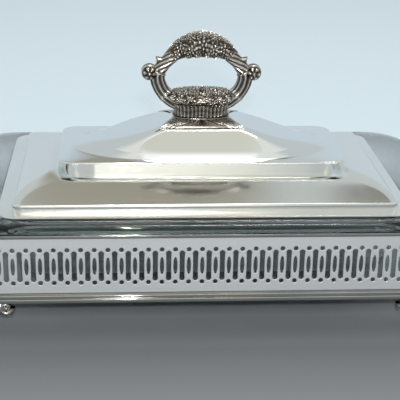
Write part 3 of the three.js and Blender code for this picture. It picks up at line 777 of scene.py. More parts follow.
def make_shoulder():
    """Flange, cushion and neck. The flange is almost flat and a low step stands on it. The cushion's
    outline goes from the step's to the neck's, evenly at its sides and later at its ends. Its height
    rises steeply from the step and levels out at a crest: it is 1 less the share still to go, raised to
    a power. It falls as a parabola to the neck's foot. The neck leans in a little. Cushion and neck
    stand a little higher at their ends, by the cube of the cosine of the direction out."""
    rise = np.linspace(0, 1, 10)
    foot = grown(flange_outline, -FLANGE_REACH, -FLANGE_REACH, BULGE_CORNER)
    flange = flange_outline + rise[:, None] * (foot - flange_outline)
    flange_levels = flange_bottom + LID_SHEET + FLANGE_LIFT * rise
    turn = np.linspace(0, np.pi / 2, 16)[1:]
    step = drawn_in(foot, STEP_LEAN * (1 - np.cos(turn)))
    step_levels = flange_levels[-1] + STEP_RISE * np.sin(turn) ** STEP_SHOULDER
    share = np.concatenate([np.linspace(0, CREST_SHARE, 34), np.linspace(CREST_SHARE, 1, 16)[1:]])
    shares = np.stack([share**END_PANEL_POWER, share, share**END_PANEL_POWER], -1)
    cushion = step[-1] + shares * (neck_outline - step[-1])
    climbed = 1 - np.clip(1 - share / CREST_SHARE, 0, 1) ** CUSHION_POWER
    fallen = rising(share, CREST_SHARE, 1 - CREST_SHARE) ** 2
    crest = bulge_top + CREST_RISE
    cushion_levels = step_levels[-1] + (crest - step_levels[-1]) * climbed - CREST_RISE * fallen
    climb = np.linspace(0, 1, 6)
    neck = drawn_in(neck_outline, NECK_LEAN * climb)
    neck_levels = bulge_top + NECK_RISE * climb
    outer = np.concatenate([flange[1:], step, cushion[1:], neck[1:]])
    outer_levels = [flange_levels[1:], step_levels, cushion_levels[1:], neck_levels[1:]]
    outer_levels = np.concatenate(outer_levels)
    edge = arc((LID_SHEET / 2, LID_SHEET / 2), LID_SHEET / 2, -90, 90, 7)
    edge_outlines = drawn_in(flange_outline, edge[:, 0] * EDGE_FLATNESS)
    lip = drawn_in(neck_outline, [NECK_LEAN + NECK_LIP] * 2)
    inner = (outer - INSET_LOSS * LID_SHEET)[::-1]
    inner[:, 2] = np.maximum(inner[:, 2], 1)
    outlines = np.concatenate([edge_outlines, outer, lip, inner])
    levels = np.concatenate([
        flange_bottom + edge[:, 1], outer_levels, [neck_top, neck_top - LID_SHEET],
        outer_levels[::-1] - LID_SHEET,
    ])
    points = rings(outlines, levels, FINE_WAY)
    raised = np.concatenate([0 * flange_levels[1:], 0 * step_levels, share[1:] ** 2, 1 - climb[1:]])
    raised = np.concatenate([0 * edge[:, 1], raised, [0, 0], raised[::-1]])[:, None]
    points[..., 2] += END_LIFT * raised * np.abs(np.cos(FINE_WAY[2])) ** 3
    sheet = [grid(points, close_rows=True)]
    make_piece("lid_shoulder_pressing", sheet, "lid", ["lid_shoulder"], SHEET, 28)


def seat_crown(across):
    """How far the lid's top and the skirt stand over the seat's level: a parabola across the seat."""
    return CREST_HEIGHT * (1 - np.clip(across, -1, 1) ** 2)


def make_dome():
    """The ledge and the sweep up to the handle's seat. The outline goes evenly from the ledge to the
    seat, but its corners are wide: above the ledge they quickly take up all of the sides outside a
    middle panel, whose half length is a parabola of the share, or nearly all of the ends. Past the
    panel the sides also bow inwards, most just above the ledge. The height is a cubic that leaves the
    ledge at a slant. The seat is crowned from front to back and pinched at its ends, and the crown
    fades down the sweep. Under the ledge the sheet turns in to the neck."""
    share = np.linspace(0, 1, 72) ** RING_SPACING
    outer = ledge_outline + share[:, None] * (seat_outline - ledge_outline)
    panel = PANEL_HALF - PANEL_BEND * (share - PANEL_SHARE) ** 2
    corner = np.minimum(outer[:, 0] / 2 - panel, DOME_SWELL_SHARE * outer[:, 1] / 2)
    outer[:, 2] += rising(share, 0, CORNER_START) * (corner - outer[:, 2])
    height = sum(factor * share**power for power, factor in enumerate(DOME_CUBIC, 1))
    outer_levels = ledge_bottom + LEDGE_EDGE + DOME_RISE * height
    shrink = np.linspace(1, 0, 10)[1:]
    outer = np.concatenate([outer, outer[-1] * shrink[:, None]])
    outer_levels = np.concatenate([outer_levels, seat_top + 0 * shrink])
    edge = arc((LEDGE_EDGE / 2, LEDGE_EDGE / 2), LEDGE_EDGE / 2, -90, 75, 8)
    edge_outlines = drawn_in(ledge_outline, edge[:, 0])
    fold = grown(ledge_outline, -LEDGE_FOLD_END, -LEDGE_FOLD_SIDE, LEDGE_CORNER / 2)
    inner = np.maximum(outer - INSET_LOSS * LID_SHEET, 0)[::-1]
    outlines = np.concatenate([inner, [fold, fold], edge_outlines, outer[1:]])
    levels = np.concatenate([
        outer_levels[::-1] - LID_SHEET, [ledge_bottom + LEDGE_EDGE * FOLD_SHARE, ledge_bottom],
        ledge_bottom + edge[:, 1], outer_levels[1:],
    ])
    points = rings(outlines, levels, FINE_WAY)

    def for_all_rings(inside, at_edge, outside):
        """A value for each ring: the inner sheet from its middle out, the edge, and the outer sheet."""
        return np.concatenate([inside[::-1], np.full(2 + len(edge), at_edge), outside[1:]])[:, None]

    half_width = np.maximum(outlines[:, 1], seat_outline[1])[:, None] / 2
    crown = seat_crown(points[..., 1] / half_width)
    crowned = np.concatenate([share**3, 1 + 0 * shrink])
    faded = for_all_rings(0 * crowned, 0, crowned)
    bowed = np.concatenate([rising(share, 0, BOW_START) * (1 - share), 0 * shrink])
    bowed = for_all_rings(bowed, 0, bowed)
    panel = np.concatenate([panel, panel[-1] * shrink])
    panel = for_all_rings(panel, panel[0], panel)
    half_length = np.maximum(outlines[:, :1] / 2, panel + 1)
    past = rising(np.abs(points[..., 0]), panel, half_length - panel)
    points[..., 1] *= 1 - DOME_BOW * bowed * past**BOW_POWER
    points[..., 2] += crown * faded
    points[..., 0] *= 1 - SEAT_PINCH * crown / CREST_HEIGHT * faded
    sheet = [grid(points)]
    make_piece("lid_dome_pressing", sheet, "lid", ["lid_dome"], DOME_SHEET, 40)


# Handle

def blossoms(across, up, middles, petals=5, turn=0.3):
    """Relief of flowers on a surface with two coordinates in millimetres. A flower is a ring of petals,
    each a bump in distance times a raised cosine of the angle, with a round knob in the middle."""
    ring, ring_width, knob_width, reach = 0.64, 0.3, 0.24, 1.25
    relief = np.zeros(np.broadcast(across, up).shape)
    for x, z, radius in middles:
        distance = np.hypot(across - x, up - z) / radius
        angle = np.arctan2(up - z, across - x) + turn * x
        petal = bell(distance - ring, ring_width) * wave(petals * angle) ** 0.6
        knob = bell(distance, knob_width)
        relief = np.maximum(relief, np.where(distance < reach, np.maximum(petal, knob), 0))
    return relief


def foliage(across, up, middles, count):
    """Relief of leaves that spread from each flower: half ellipsoids that point outwards from it, each
    with a groove along its middle and notches across."""
    start, half_length, half_width, groove_width = 1.3, 0.42, 0.25, 0.05
    relief = np.zeros(np.broadcast(across, up).shape)
    for x, z, radius in middles:
        for turn in (np.arange(count) + 0.03 * radius * x) * 2 * np.pi / count:
            cos, sin = np.cos(turn), np.sin(turn)
            along = ((across - x) * cos + (up - z) * sin) / radius - start
            aside = ((up - z) * cos - (across - x) * sin) / radius
            leaf = np.clip(1 - (along / half_length) ** 2 - (aside / half_width) ** 2, 0, 1) ** 0.5
            groove = 1 - 0.6 * bell(aside, groove_width)
            relief = np.maximum(relief, leaf * groove * (0.85 + 0.15 * np.cos(25 * along)))
    return relief


def flowered(across, up, middles, leaves):
    """Flowers and their leaves: the higher of the two."""
    return np.maximum(blossoms(across, up, middles), foliage(across, up, middles, leaves))


def grains(across, up, size):
    """A ground of small round grains: the product of two cosines, raised above 0 and sharpened."""
    return (0.5 + 0.5 * np.cos(2 * np.pi * across / size) * np.cos(2 * np.pi * up / size)) ** 1.5


BASE_STEPS, BASE_COLUMNS = 6, 320
WAIST_ROW = 5 * BASE_STEPS  # the profile's row at the sixth of its shares

BASE_SHARES = [  # half length, half width, height, squareness
    (1.0, 1.0, 0.0, 5.0),
    (1.0, 0.99, 0.02, 5.0),
    (0.95, 0.93, 0.055, 4.0),
    (0.85, 0.81, 0.09, 1.8),
    (0.72, 0.67, 0.14, 0.8),
    (0.63, 0.57, 0.185, 0.35),
    (0.63, 0.57, 0.21, 0.3),
    (0.6, 0.53, 0.24, 0.3),
    (0.6, 0.52, 0.4, 0.3),
    (0.605, 0.53, 0.52, 0.3),
    (0.625, 0.55, 0.62, 0.4),
    (0.67, 0.6, 0.69, 0.6),
    (0.7, 0.63, 0.8, 0.8),
    (0.68, 0.58, 0.91, 0.8),
    (0.6, 0.46, 0.98, 0.8),
    (0.47, 0.32, 1.03, 0.7),
    (0.28, 0.2, 1.07, 0.5),
    (0.1, 0.07, 1.08, 0.3),
]


# Shares of the base's height
SKIRT_FOOT, SKIRT_TOP, WAIST_FOOT, WAIST_TOP, DRAPE_TOP = 0.05, 0.185, 0.24, 0.67, 0.2
BASKET_FOOT, BASKET_RIM, TOP_FROM, BEAD_LEVEL, RIDGE_LEVEL = 0.65, 0.91, 0.92, 0.035, 0.2
SHARP_EDGE, SOFT_EDGE, BEAD_WIDTH, RIDGE_WIDTH, BAND_SPACING = 0.02, 0.05, 0.028, 0.016, 0.17
PINCH_TOP, DROOP_TOP, SCALLOP_HEIGHT, SCALLOPS = 0.19, 0.1, 0.03, 9

WAIST_SHARE = 0.62
WAIST_SHADE, SKIRT_SHADE = (0.28, 0.42), (0.1, 0.75)  # relief between the reeds, and added on them
BAND_DEPTH, BAND_SWAY, BAND_SWAYS = 0.15, 1.3, 5
WALL_FLOWERS, WALL_LEAVES = 15, 7
UPPER_ROW, UPPER_ZIGZAG, UPPER_FLOWER = 1.8, 0.4, 2.3  # below the rim, up and down, radius
LOWER_ROW, LOWER_FLOWER = 5.4, 2.0
TOP_COLUMNS, TOP_ROWS, TOP_FLOWER = (-18, -10.8, -3.6, 3.6, 10.8, 18), (-8.5, -1, 6.5), 3.1
REED_DEPTH, SKIRT_REED_DEPTH, FLOWER_DEPTH, FLOWER_GROUND, BEAD_DEPTH = 0.9, 0.6, 1.5, 0.6, 0.5
HORN_FROM, HORN_RUN, HORN_RELIEF, DROOP_FROM = 0.72, 0.1, 0.5, 0.7
PINCH, BASE_INSET, TOP_SWELL, FLOOR_RELIEF = 0.4, 0.5, 2.0, 0.6
GRAIN_RELIEF, GRAIN_SIZE = 0.4, 1.9


def handle_base():
    """The base's profile goes through its shares of half length, half width, height and squareness.
    The plan is an ellipse whose cosine and sine are raised to less than 1 where it is square. The skirt
    is pinched at the middle of each end, and draped over the seat's crown. Reeds run down the waist and
    the skirt, two rows of flowers and leaves go round the basket and a grid of them covers its top, and
    beads run round the skirt's edge."""
    profile = smooth_run(BASE_SHARES, BASE_STEPS)
    half, deep, up, square = (profile[:, k, None] for k in range(4))
    angle = full_turn(BASE_COLUMNS)[None]
    cos, sin = np.cos(angle), np.sin(angle)
    plan_x, plan_y = squared(cos, 1 / (1 + square)), squared(sin, 1 / (1 + square))
    half_x, half_y = half * SKIRT_LENGTH / 2, deep * SKIRT_WIDTH / 2
    height = up * HANDLE_BASE_HEIGHT
    x_share = np.abs(half * plan_x)
    edge = [plan_x[WAIST_ROW] * SKIRT_LENGTH / 2, plan_y[WAIST_ROW] * SKIRT_WIDTH / 2]
    edge = np.stack(edge) * WAIST_SHARE
    around = np.concatenate([[0], np.cumsum(np.hypot(*np.diff(edge, axis=1, append=edge[:, :1])))])
    lap, round_way = around[-1], around[None, :-1]
    turn = round_way / lap * 2 * np.pi
    step_x, step_z = np.gradient(half_x[:, 0]), np.gradient(height[:, 0])
    down_way = np.cumsum(np.hypot(step_x, step_z))[:, None]
    rim = np.interp(BASKET_RIM, up[:, 0], down_way[:, 0])
    over = rising(up, BASKET_FOOT, 0.04)
    wall = [
        (lap * (k + 0.5) / WALL_FLOWERS, rim - UPPER_ROW + UPPER_ZIGZAG * (-1) ** k, UPPER_FLOWER)
        for k in range(-1, WALL_FLOWERS + 1)
    ]
    wall += [(lap * k / WALL_FLOWERS, rim - LOWER_ROW, LOWER_FLOWER) for k in range(WALL_FLOWERS + 1)]
    top = [(x, y, TOP_FLOWER) for x in TOP_COLUMNS for y in TOP_ROWS]
    on_top = rising(up, TOP_FROM + SCALLOP_HEIGHT * np.sin(SCALLOPS * turn), SOFT_EDGE)
    wall_relief = flowered(round_way, down_way, wall, WALL_LEAVES)
    top_relief = flowered(half_x * plan_x, half_y * plan_y, top, WALL_LEAVES)
    ground = GRAIN_RELIEF * grains(round_way, down_way, GRAIN_SIZE)
    flowers = np.maximum((1 - on_top) * wall_relief + on_top * 0.9 * top_relief, ground) * over
    waist = rising(up, WAIST_FOOT, SHARP_EDGE) * falling(up, WAIST_TOP, SOFT_EDGE)
    skirt = rising(up, SKIRT_FOOT, SHARP_EDGE) * falling(up, SKIRT_TOP, SHARP_EDGE)
    reeds = wave(FLUTES * turn) ** 0.8
    beads = wave(1.5 * FLUTES * turn) * bell(up - BEAD_LEVEL, BEAD_WIDTH)
    ridge = 0.95 * bell(up - RIDGE_LEVEL, RIDGE_WIDTH)
    sway = BAND_SWAY * np.sin(BAND_SWAYS * turn)
    banded = 1 - BAND_DEPTH + BAND_DEPTH * np.cos(2 * np.pi * up / BAND_SPACING + sway)
    horns = HORN_RELIEF * rising(x_share, HORN_FROM, HORN_RUN) * falling(up, RIDGE_LEVEL, SOFT_EDGE)
    relief = waist * (WAIST_SHADE[0] + WAIST_SHADE[1] * reeds) * banded
    relief = relief + skirt * (SKIRT_SHADE[0] + SKIRT_SHADE[1] * reeds)
    relief = np.clip(relief + flowers + beads + ridge + horns, 0, 1)
    out = (REED_DEPTH * waist + SKIRT_REED_DEPTH * skirt) * (reeds - 1) + BEAD_DEPTH * beads
    out = out + FLOWER_DEPTH * (flowers - FLOWER_GROUND) * over
    droop = rising(x_share, DROOP_FROM, 1 - DROOP_FROM) * falling(up, DROOP_TOP, DROOP_TOP)
    pinch = 1 - PINCH * falling(up, PINCH_TOP, PINCH_TOP) ** 0.7 * (1 - np.abs(sin)) ** 1.6
    x = (half_x * pinch + out * (1 - on_top) - BASE_INSET) * plan_x
    y = (half_y + out * (1 - on_top) - BASE_INSET) * plan_y
    draped = seat_crown(y / (SKIRT_WIDTH / 2)) * falling(up, DRAPE_TOP, DRAPE_TOP)
    z = handle_bottom + height + on_top * out * TOP_SWELL + draped - TIP_DROOP * droop
    points = np.stack([x, y, z], -1)
    floor = np.zeros((1, points.shape[1], 3))
    floor[..., 2] = handle_bottom + CREST_HEIGHT
    lid = np.broadcast_to(points[-1:].mean(1, keepdims=True), floor.shape)
    points = np.concatenate([floor, points, lid])
    relief = np.concatenate([relief[:1] * 0 + FLOOR_RELIEF, relief, relief[-1:]])
    return grid(points, relief)


LEAF_END = 39  # from the crown's middle, along the loop, to where the long leaves end

LOOP_SHARES = [  # half spread, height, growth from the arm's section to the crown's
    (0.36, 0.2, 0.0),
    (0.62, 0.275, 0.0),
    (0.84, 0.42, 0.0),
    (0.91, 0.6, 0.0),
    (0.72, 0.765, -0.2),
    (0.48, 0.905, 0.4),
    (0.26, 0.955, 0.95),
    (0.0, 0.978, 1.12),
]


LOOP_STEPS, LOOP_COLUMNS, LOOP_SQUARING = 32, 112, 0.88
CROWN_END, WRAP_START, LEAF_MIDDLE = 25, 22, 34  # along the loop
CROWN_FADE, LEAF_FADE, LEAF_TILT, LEAF_SPACING, ARM_REEDS = 3, 1.5, 0.5, 3.2, 10
CROWN_RELIEF, WRAP_RELIEF, ARM_RELIEF, COLLAR_RELIEF, SPUR_REACH = 2.0, 1.1, 1.0, 0.5, 4.4
COLLAR_PLACE, LOW_COLLAR_PLACE, SPUR_PLACE, SPUR_LEVEL = LEAF_END + 0.5, LEAF_END + 19, 32, 7.6
CROWN_FLOWERS = [  # along the loop, up its face, radius
    (0, 0.6, 3.7), (-8.2, -1.6, 3.2), (8.4, -1.2, 3.3), (-15.8, 1.0, 3.0), (15.6, 0.4, 3.1),
    (-22.4, -1.2, 2.6), (22.6, -0.8, 2.7), (-4.4, -8.2, 2.2), (4.8, -7.8, 2.3), (0.4, 8.6, 2.4),
    (-7.6, 7.0, 2.4), (8.0, 7.4, 2.3), (-12.4, -8.6, 2.1), (12.6, -8.2, 2.2),
]
CROWN_FLOWERS += [(x, z, 1.8) for x in (-25, -19.5, -14, 14, 19.5, 25) for z in (-9.6, 8.6)]
CROWN_FLOWERS += [(5.5 * k, 12.6, 1.9) for k in range(-4, 5)]


def handle_loop():
    """The loop: a flattened tube carried along a curve in the handle's plane. Its section grows from
    the arm's to the crown's. Reeds run along the arms, flowers and leaves cover the crown, long leaves
    wrap the loop above each knob, a collar ends them, and a spur sticks out over the knob. Relief is
    cut in from the full outline. The way round the section is folded, so that the back is like the
    front."""
    side = np.array(LOOP_SHARES)
    knots = np.concatenate([side * [-1, 1, 1], side[::-1][1:]])
    run = smooth_run(knots, LOOP_STEPS)
    line_x = run[:, 0] * LOOP_SPREAD / 2
    line_z = handle_bottom + run[:, 1] * HANDLE_HEIGHT
    grown_share = run[:, 2, None]
    step_x, step_z = np.gradient(line_x), np.gradient(line_z)
    length = np.hypot(step_x, step_z)
    out_x, out_z = (-step_z / length)[:, None], (step_x / length)[:, None]
    travel = np.concatenate([[0], np.cumsum((length[1:] + length[:-1]) / 2)])
    travel = (travel - travel[-1] / 2)[:, None]
    far = np.abs(travel)
    half_height = (ARM_HEIGHT + (CROWN_HEIGHT - ARM_HEIGHT) * grown_share) / 2
    half_depth = (ARM_DEPTH + (CROWN_DEPTH - ARM_DEPTH) * grown_share) / 2
    angle = full_turn(LOOP_COLUMNS)[None] - np.pi
    cos, sin = np.cos(angle), np.sin(angle)
    folded = np.arctan2(sin, np.abs(cos)) * (half_height + half_depth) / 2
    crown = falling(far, CROWN_END, CROWN_FADE)
    wrap = rising(far, WRAP_START, CROWN_FADE) * falling(far, LEAF_END, LEAF_FADE)
    arm = rising(far, LEAF_END, LEAF_FADE)
    flowers = flowered(travel, folded, CROWN_FLOWERS, leaves=9)
    flowers = np.maximum(flowers, 0.45 * grains(travel, folded, 1.7)) * crown
    leaf = wave(2 * np.pi * (folded - LEAF_TILT * (far - LEAF_MIDDLE)) / LEAF_SPACING) ** 0.7
    reeds = wave(ARM_REEDS * angle) ** 0.8
    collar = bell(far - COLLAR_PLACE, 1.0) + 0.4 * bell(far - LOW_COLLAR_PLACE, 1.4)
    # oxide between the arm's reeds, and the sharp reeds**8 term a painted highlight along each crest
    lines = 0.15 + 0.4 * reeds + 0.25 * reeds**8
    relief = np.clip(flowers + wrap * (0.15 + 0.6 * leaf) + arm * lines + 0.6 * collar, 0, 1)
    depth = CROWN_RELIEF * crown + WRAP_RELIEF * wrap + ARM_RELIEF * arm
    spur = SPUR_REACH * bell(far - SPUR_PLACE, 1.8) * bell(folded - SPUR_LEVEL, 2.4)
    inward = depth * (1 - relief) - COLLAR_RELIEF * collar - spur
    high, deep = half_height - inward, half_depth - inward
    lift = high * squared(sin, LOOP_SQUARING)
    x = line_x[:, None] + out_x * lift
    z = line_z[:, None] + out_z * lift
    y = -deep * squared(cos, LOOP_SQUARING)
    points = np.stack([x, y, z], -1)
    ends = np.broadcast_to(points[[0, -1]].mean(1, keepdims=True), (2, points.shape[1], 3))
    points = np.concatenate([ends[:1], points, ends[1:]])
    relief = np.concatenate([relief[:1], relief, relief[-1:]])
    return grid(points, relief)


KNOB_CUT, KNOB_STRETCH = 0.13, 1.3
PETAL_RING, RIDGE_RING = 0.42, 0.8


def knob(side):
    """A knob at the loop's side: a ball with its poles front and back. On each pole lies a rosette with
    an eye and six petals that curl a little, inside a round ridge, and the rim is plain."""
    theta = np.linspace(0, np.pi, 40)[:, None]
    phi = full_turn(64)[None]
    out = np.minimum(theta, np.pi - theta) / (np.pi / 2)
    petals = bell(out - PETAL_RING, 0.16) * wave(6 * phi + 2 * out) ** 0.7
    relief = np.clip(0.9 * petals + 0.7 * bell(out, 0.16) + 0.8 * bell(out - RIDGE_RING, 0.13), 0, 1)
    radius = KNOB_DIAMETER / 2 * (1 - KNOB_CUT + KNOB_CUT * relief)
    x = side * (LOOP_SPREAD / 2 + KNOB_OFFSET) + radius * np.sin(theta) * np.cos(phi)
    z = handle_bottom + KNOB_UP_SHARE * HANDLE_HEIGHT + radius * np.sin(theta) * np.sin(phi)
    y = -radius * np.cos(theta) * KNOB_STRETCH + 0 * phi
    return grid(np.stack([x, y, z], -1), relief)


def make_handle():
    """One casting: base, loop and knobs."""
    parts = [handle_base(), handle_loop(), knob(-1), knob(1)]
    make_piece("loop_handle", parts, "lid", ["lid_handle"], CAST, 75)


# Feet

SCROLL_PLACE = (FOOT_SPREAD - SCROLL_DIAMETER) / 2

FOOT_SHARES = [  # way down, half width, swell, thickness
    (0.0, 0.76, 0.0, 1.0),
    (0.18, 0.8, 0.7, 1.0),
    (0.38, 0.54, 1.0, 1.0),
    (0.58, 0.3, 0.55, 1.0),
    (0.76, 0.21, 0.2, 1.1),
    (0.9, 0.24, 0.7, 1.35),
    (1.0, 0.26, 1.0, 1.4),
]


LEG_CROWN, VEIN_DEPTH, LEG_SKIN, LEG_BACK_RELIEF = 0.9, 0.9, 0.1, 0.3
VEINS_ACROSS, VEINS_DOWN, VEIN_SPREAD, VEIN_RELIEF = 3.5, 2.2, 1.3, 0.65
RIB_WIDTH, BORDER, BORDER_WIDTH = 0.1, 0.93, 0.06  # shares of the leg's half width


def bent(out, turn, level):
    """Points at a distance from the corner's axis, in a direction in radians, at a level."""
    return np.stack([out * np.cos(turn), out * np.sin(turn), level], -1)


def foot_leg(radius, top):
    """The leg: at each level a strip bent round the corner, as wide, as far out and as thick as its
    shares say, with a crowned face and the veins of a leaf."""
    down, half, out, thick = (smooth_run(FOOT_SHARES, 12)[:, k, None] for k in range(4))
    down = np.clip(down, 0, 1)
    across = np.linspace(-1, 1, 49)[None]
    veins = VEINS_ACROSS * np.abs(across) ** VEIN_SPREAD + VEINS_DOWN * down
    border = bell(np.abs(across) - BORDER, BORDER_WIDTH)
    relief = np.clip(VEIN_RELIEF * wave(2 * np.pi * veins) + bell(across, RIB_WIDTH) + border, 0, 1)
    crown = 0.5 * thick * FOOT_SHEET * (1 - across**2) ** 0.5 * LEG_CROWN
    middle = radius + out * FOOT_SWELL
    along = across * half * FOOT_SPREAD / 2 / radius
    front = middle + crown - VEIN_DEPTH * (1 - relief) + LEG_SKIN
    back = middle - crown - LEG_SKIN
    level = top * (1 - down) + 0 * across
    points = np.concatenate([bent(front, along, level), bent(back, along, level)[:, ::-1]], 1)
    shade = np.concatenate([relief, relief * 0 + LEG_BACK_RELIEF], 1)
    return grid(points, shade)


CORD_LEAST, CORD_GROWTH, CORD_STAND = 0.7, 1.2, 1.5
VOLUTE_TURNS, VOLUTE_OUT = 1.7, 1.8
EYE_RADIUS, EYE_OUT, EYE_RISE = 3.6, 2.2, 2.2


def foot_volute(radius, top, side):
    """A volute: a round cord that winds in 1.7 turns, its radius and its thickness going down together,
    about an eye with petals. It is beaded, and brightest on its outer face."""
    last_turn = 2 * VOLUTE_TURNS * np.pi
    turn = np.linspace(0, last_turn, 120)[:, None]
    round_cord = full_turn(20)[None]
    shrink = 1 - turn / last_turn
    cord = CORD_LEAST + CORD_GROWTH * shrink
    reach = (SCROLL_DIAMETER / 2 - CORD_LEAST - CORD_GROWTH) * shrink**0.8
    spread = reach + cord * np.cos(round_cord)
    tangent = -side * spread * np.sin(turn - np.pi / 2)
    level = top - SCROLL_DIAMETER / 2 - spread * np.cos(turn - np.pi / 2)
    out = radius + VOLUTE_OUT + CORD_STAND * cord * np.sin(round_cord) + 0 * turn
    points = bent(out, (side * SCROLL_PLACE + tangent) / radius, level)
    relief = np.clip(0.05 + 0.62 * np.sin(round_cord) + 0.15 * np.cos(14 * turn), 0, 1)
    return grid(points, relief)


def foot_eye(radius, top, side):
    """The volute's eye: a shallow dome with six petals."""
    share = np.linspace(0, 1, 14)[:, None]
    phi = full_turn(48)[None]
    relief = np.clip(wave(6 * phi) ** 2 * np.sin(share * np.pi) ** 2 + bell(share, 0.2), 0, 0.9)
    across = EYE_RADIUS * share * np.cos(phi)
    level = top - SCROLL_DIAMETER / 2 + EYE_RADIUS * share * np.sin(phi)
    out = radius + EYE_OUT + EYE_RISE * (1 - share**2) * (0.6 + 0.4 * relief)
    turned = (side * SCROLL_PLACE + across) / radius
    points = np.concatenate([bent(out, turned, level), bent(radius + 0 * out, turned, level)[::-1]])
    shade = np.concatenate([relief, relief[::-1] * 0])
    return grid(points, shade)


def make_feet():
    """A foot at each corner, made facing +X and turned about Z to its corner."""
    radius, top = STAND_CORNER - FOOT_SETBACK, FOOT_HEIGHT - SEAT_GAP
    parts = [foot_leg(radius, top)]
    for side in (-1, 1):
        parts += [foot_volute(radius, top, side), foot_eye(radius, top, side)]
    corners = {"front_right": (1, -1), "back_right": (1, 1), "back_left": (-1, 1)}
    corners["front_left"] = (-1, -1)
    for name, (sx, sy) in corners.items():
        angle = np.arctan2(sy, sx)
        cos, sin = np.cos(angle), np.sin(angle)
        spin = np.array([[cos, sin, 0], [-sin, cos, 0], [0, 0, 1]])
        shift = np.array([sx * half_front, sy * half_end, 0])
        placed = [(points @ spin + shift, faces, relief) for points, faces, relief in parts]
        make_piece("scroll_foot_" + name, placed, "stand", ["foot_" + name], CAST, 60)


# Camera, lamps and stage

CAMERA_PLACE = (-59.689, -780.877, 360.545)
CAMERA_PITCH, CAMERA_YAW, CAMERA_ROLL = np.radians([21.006, 4.443, 1.25])
CAMERA_LENS, SENSOR_WIDTH, VIEW_END = 99.53, 36, 20


def make_camera():
    """The camera looks along its yaw and pitch, and its roll turns it about that line."""
    cos_p, sin_p = np.cos(CAMERA_PITCH), np.sin(CAMERA_PITCH)
    cos_y, sin_y = np.cos(CAMERA_YAW), np.sin(CAMERA_YAW)
    cos_r, sin_r = np.cos(CAMERA_ROLL), np.sin(CAMERA_ROLL)
    ahead = np.array([sin_y * cos_p, cos_y * cos_p, -sin_p])
    right = np.array([cos_y, -sin_y, 0])
    up = np.cross(right, ahead)
    turned_right, turned_up = cos_r * right + sin_r * up, cos_r * up - sin_r * right
    data = bpy.data.cameras.new("camera")
    data.lens, data.sensor_width, data.clip_end = CAMERA_LENS, SENSOR_WIDTH, VIEW_END
    camera = bpy.data.objects.new("camera", data)
    turn = Matrix(np.stack([turned_right, turned_up, -ahead], -1).tolist()).to_4x4()
    camera.matrix_world = Matrix.Translation(np.array(CAMERA_PLACE) * MILLIMETRE) @ turn
    bpy.context.scene.collection.objects.link(camera)
    bpy.context.scene.camera = camera


def make_lamp(name, place, target, size, watts):
    """A square lamp that faces a target. Its lengths are in metres."""
    data = bpy.data.lights.new(name, "AREA")
    data.size = size
    data.energy = watts
    lamp = bpy.data.objects.new(name, data)
    towards = np.array(target, float) - place
    towards /= np.linalg.norm(towards)
    side = np.cross(towards, [0, 0, 1])
    side /= np.linalg.norm(side)
    turn = Matrix(np.stack([side, np.cross(side, towards), -towards], -1).tolist()).to_4x4()
    lamp.matrix_world = Matrix.Translation(place) @ turn
    bpy.context.scene.collection.objects.link(lamp)


BACKDROP = (0.56, 0.645, 0.705, 1)
DIM_ROOM = (0.31, 0.30, 0.25, 1)
WINDOW = (1.0, 1.0, 1.0, 1)
CEILING = (0.64, 0.635, 0.56, 1)
FRONT_ROOM = (0.84, 0.85, 0.775, 1)
SIDE_ROOM = (0.53, 0.575, 0.585, 1)
SIDE_WINDOW = (0.75, 0.77, 0.73, 1)
LOW_FRONT = (0.16, 0.165, 0.16, 1)
LEFT_ROOM = (0.325, 0.315, 0.265, 1)
LEFT_WALL = (0.41, 0.425, 0.415, 1)
DOORWAY = (0.19, 0.185, 0.165, 1)

# Across the room, by the direction's part along X: where one stretch turns into the next
SIDE_TO_LEFT, LEFT_TO_MIDDLE, MIDDLE_TO_SIDE = (-0.14, -0.07), (0.012, 0.032), (0.115, 0.145)
DOOR_LEFT, DOOR_RIGHT, DOOR_FOOT, DOOR_TOP = (0.19, 0.205), (0.26, 0.29), (0.22, 0.27), (0.35, 0.37)


def make_world():
    """The room by direction. Its height goes from 0 at the horizon behind the dish, over the top, to 1
    at the horizon in front: a pale backdrop, a dim wall, a bright window overhead, a cream ceiling and
    a brighter front. The sides are plainer, and a dark doorway stands behind on the right."""
    world = bpy.data.worlds.new("room")
    world.use_nodes = True
    bpy.context.scene.world = world
    paint = Paint(world.node_tree)
    x, y, z = paint.along_axes(paint.coordinates("Generated"))
    over = paint.maths("ARCTAN2", z, y) / np.pi
    behind = [(0.0, BACKDROP), (0.12, BACKDROP)]
    front = [(0.9, CEILING), (0.93, FRONT_ROOM), (0.96, FRONT_ROOM), (0.975, LOW_FRONT)]
    middle = paint.ramp(over, behind + [
        (0.15, DIM_ROOM), (0.34, DIM_ROOM), (0.43, WINDOW), (0.545, WINDOW), (0.575, CEILING),
    ] + front)
    left = paint.ramp(over, behind + [
        (0.15, LEFT_ROOM), (0.33, LEFT_ROOM), (0.37, LEFT_WALL), (0.475, LEFT_WALL),
        (0.5, WINDOW), (0.56, WINDOW), (0.59, CEILING),
    ] + front)
    sides = paint.ramp(over, behind + [
        (0.16, SIDE_ROOM), (0.36, SIDE_ROOM), (0.5, SIDE_WINDOW), (0.62, SIDE_WINDOW),
        (0.75, SIDE_ROOM), (0.95, SIDE_ROOM), (0.98, LOW_FRONT),
    ])
    room = paint.mixed(x.between(*LEFT_TO_MIDDLE), left, middle)
    room = paint.mixed(x.between(*MIDDLE_TO_SIDE), room, sides)
    room = paint.mixed(x.between(*SIDE_TO_LEFT), sides, room)
    doorway = x.between(*DOOR_LEFT) * (1 - x.between(*DOOR_RIGHT))
    doorway = doorway * over.between(*DOOR_FOOT) * (1 - over.between(*DOOR_TOP))
    room = paint.mixed(doorway, room, DOORWAY)
    background = paint.node("ShaderNodeBackground", {}, {"Color": room, "Strength": 1.0})
    paint.node("ShaderNodeOutputWorld", {}, {"Surface": background})
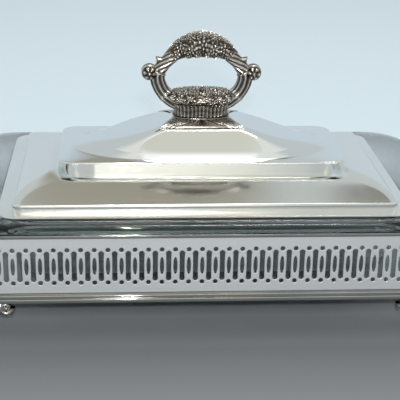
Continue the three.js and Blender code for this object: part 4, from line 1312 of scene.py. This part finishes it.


# cloth colours that paint light and shade: shaded grey in front, a painted shadow just before the
# stand, painted light under its front edge, painted shade further under it, and the pale far cloth
CLOTH_TINT = (0.96, 1.0, 1.05)
NEAR_SHADED_CLOTH, SHADOWED_CLOTH = tinted(0.4, CLOTH_TINT), tinted(0.16, CLOTH_TINT)
LIT_COVERED_CLOTH, SHADED_INNER_CLOTH = tinted(0.34, CLOTH_TINT), tinted(0.19, CLOTH_TINT)
FAR_CLOTH = (0.73, 0.83, 0.9, 1)
FLOOR_HALF, CLOTH_FRONT, CLOTH_BACK = 6.0, -0.5, 0.25  # in metres


def make_stage():
    """A cloth floor with painted light and shade: shaded grey in front, a painted shadow just before
    the stand, painted light under its front edge, and pale behind the dish."""
    mesh = bpy.data.meshes.new("floor")
    signs = [(-1, -1), (1, -1), (1, 1), (-1, 1)]
    mesh.from_pydata([(x * FLOOR_HALF, y * FLOOR_HALF, 0) for x, y in signs], [], [(0, 1, 2, 3)])
    material, paint = new_paint("pale cloth floor")
    away = paint.along_axes(paint.coordinates())[1]
    folds = paint.noise(scale=6, detail=3, stretch=(0.5, 1, 1))
    # painted light and shade by distance back: shade in front, a shadow before the stand, light under
    # its edge
    colour = paint.ramp(away.between(CLOTH_FRONT, CLOTH_BACK), [
        (0.0, NEAR_SHADED_CLOTH), (0.5, SHADOWED_CLOTH), (0.6, LIT_COVERED_CLOTH), (0.65, SHADED_INNER_CLOTH),
        (1.0, FAR_CLOTH),
    ])
    paint.surface({
        "Base Color": colour,
        "Roughness": 0.9,
        "Specular IOR Level": 0.1,
        "Normal": paint.bump(folds, distance=6.0, strength=0.3),
    })
    mesh.materials.append(material)
    floor = bpy.data.objects.new("floor", mesh)
    bpy.context.scene.collection.objects.link(floor)


make_camera()
make_base_rail()
make_top_rail()
make_gallery()
make_dish()
make_shoulder()
make_dome()
make_handle()
make_feet()
for name in ("handle_stud", "stud_washer", "stud_nut"):
    for side in ("_left", "_right"):
        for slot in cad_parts[name + side].material_slots:
            slot.material = BRASS
make_world()
make_lamp("flash", place=(-0.05, -0.80, 0.42), target=(-0.03, 0, 0.08), size=0.02, watts=3.0)
make_lamp("soft", place=(0.22, 0.15, 1.8), target=(0, 0.6, 0), size=0.5, watts=9.0)
make_stage()
bpy.context.scene.view_settings.view_transform = "Standard"
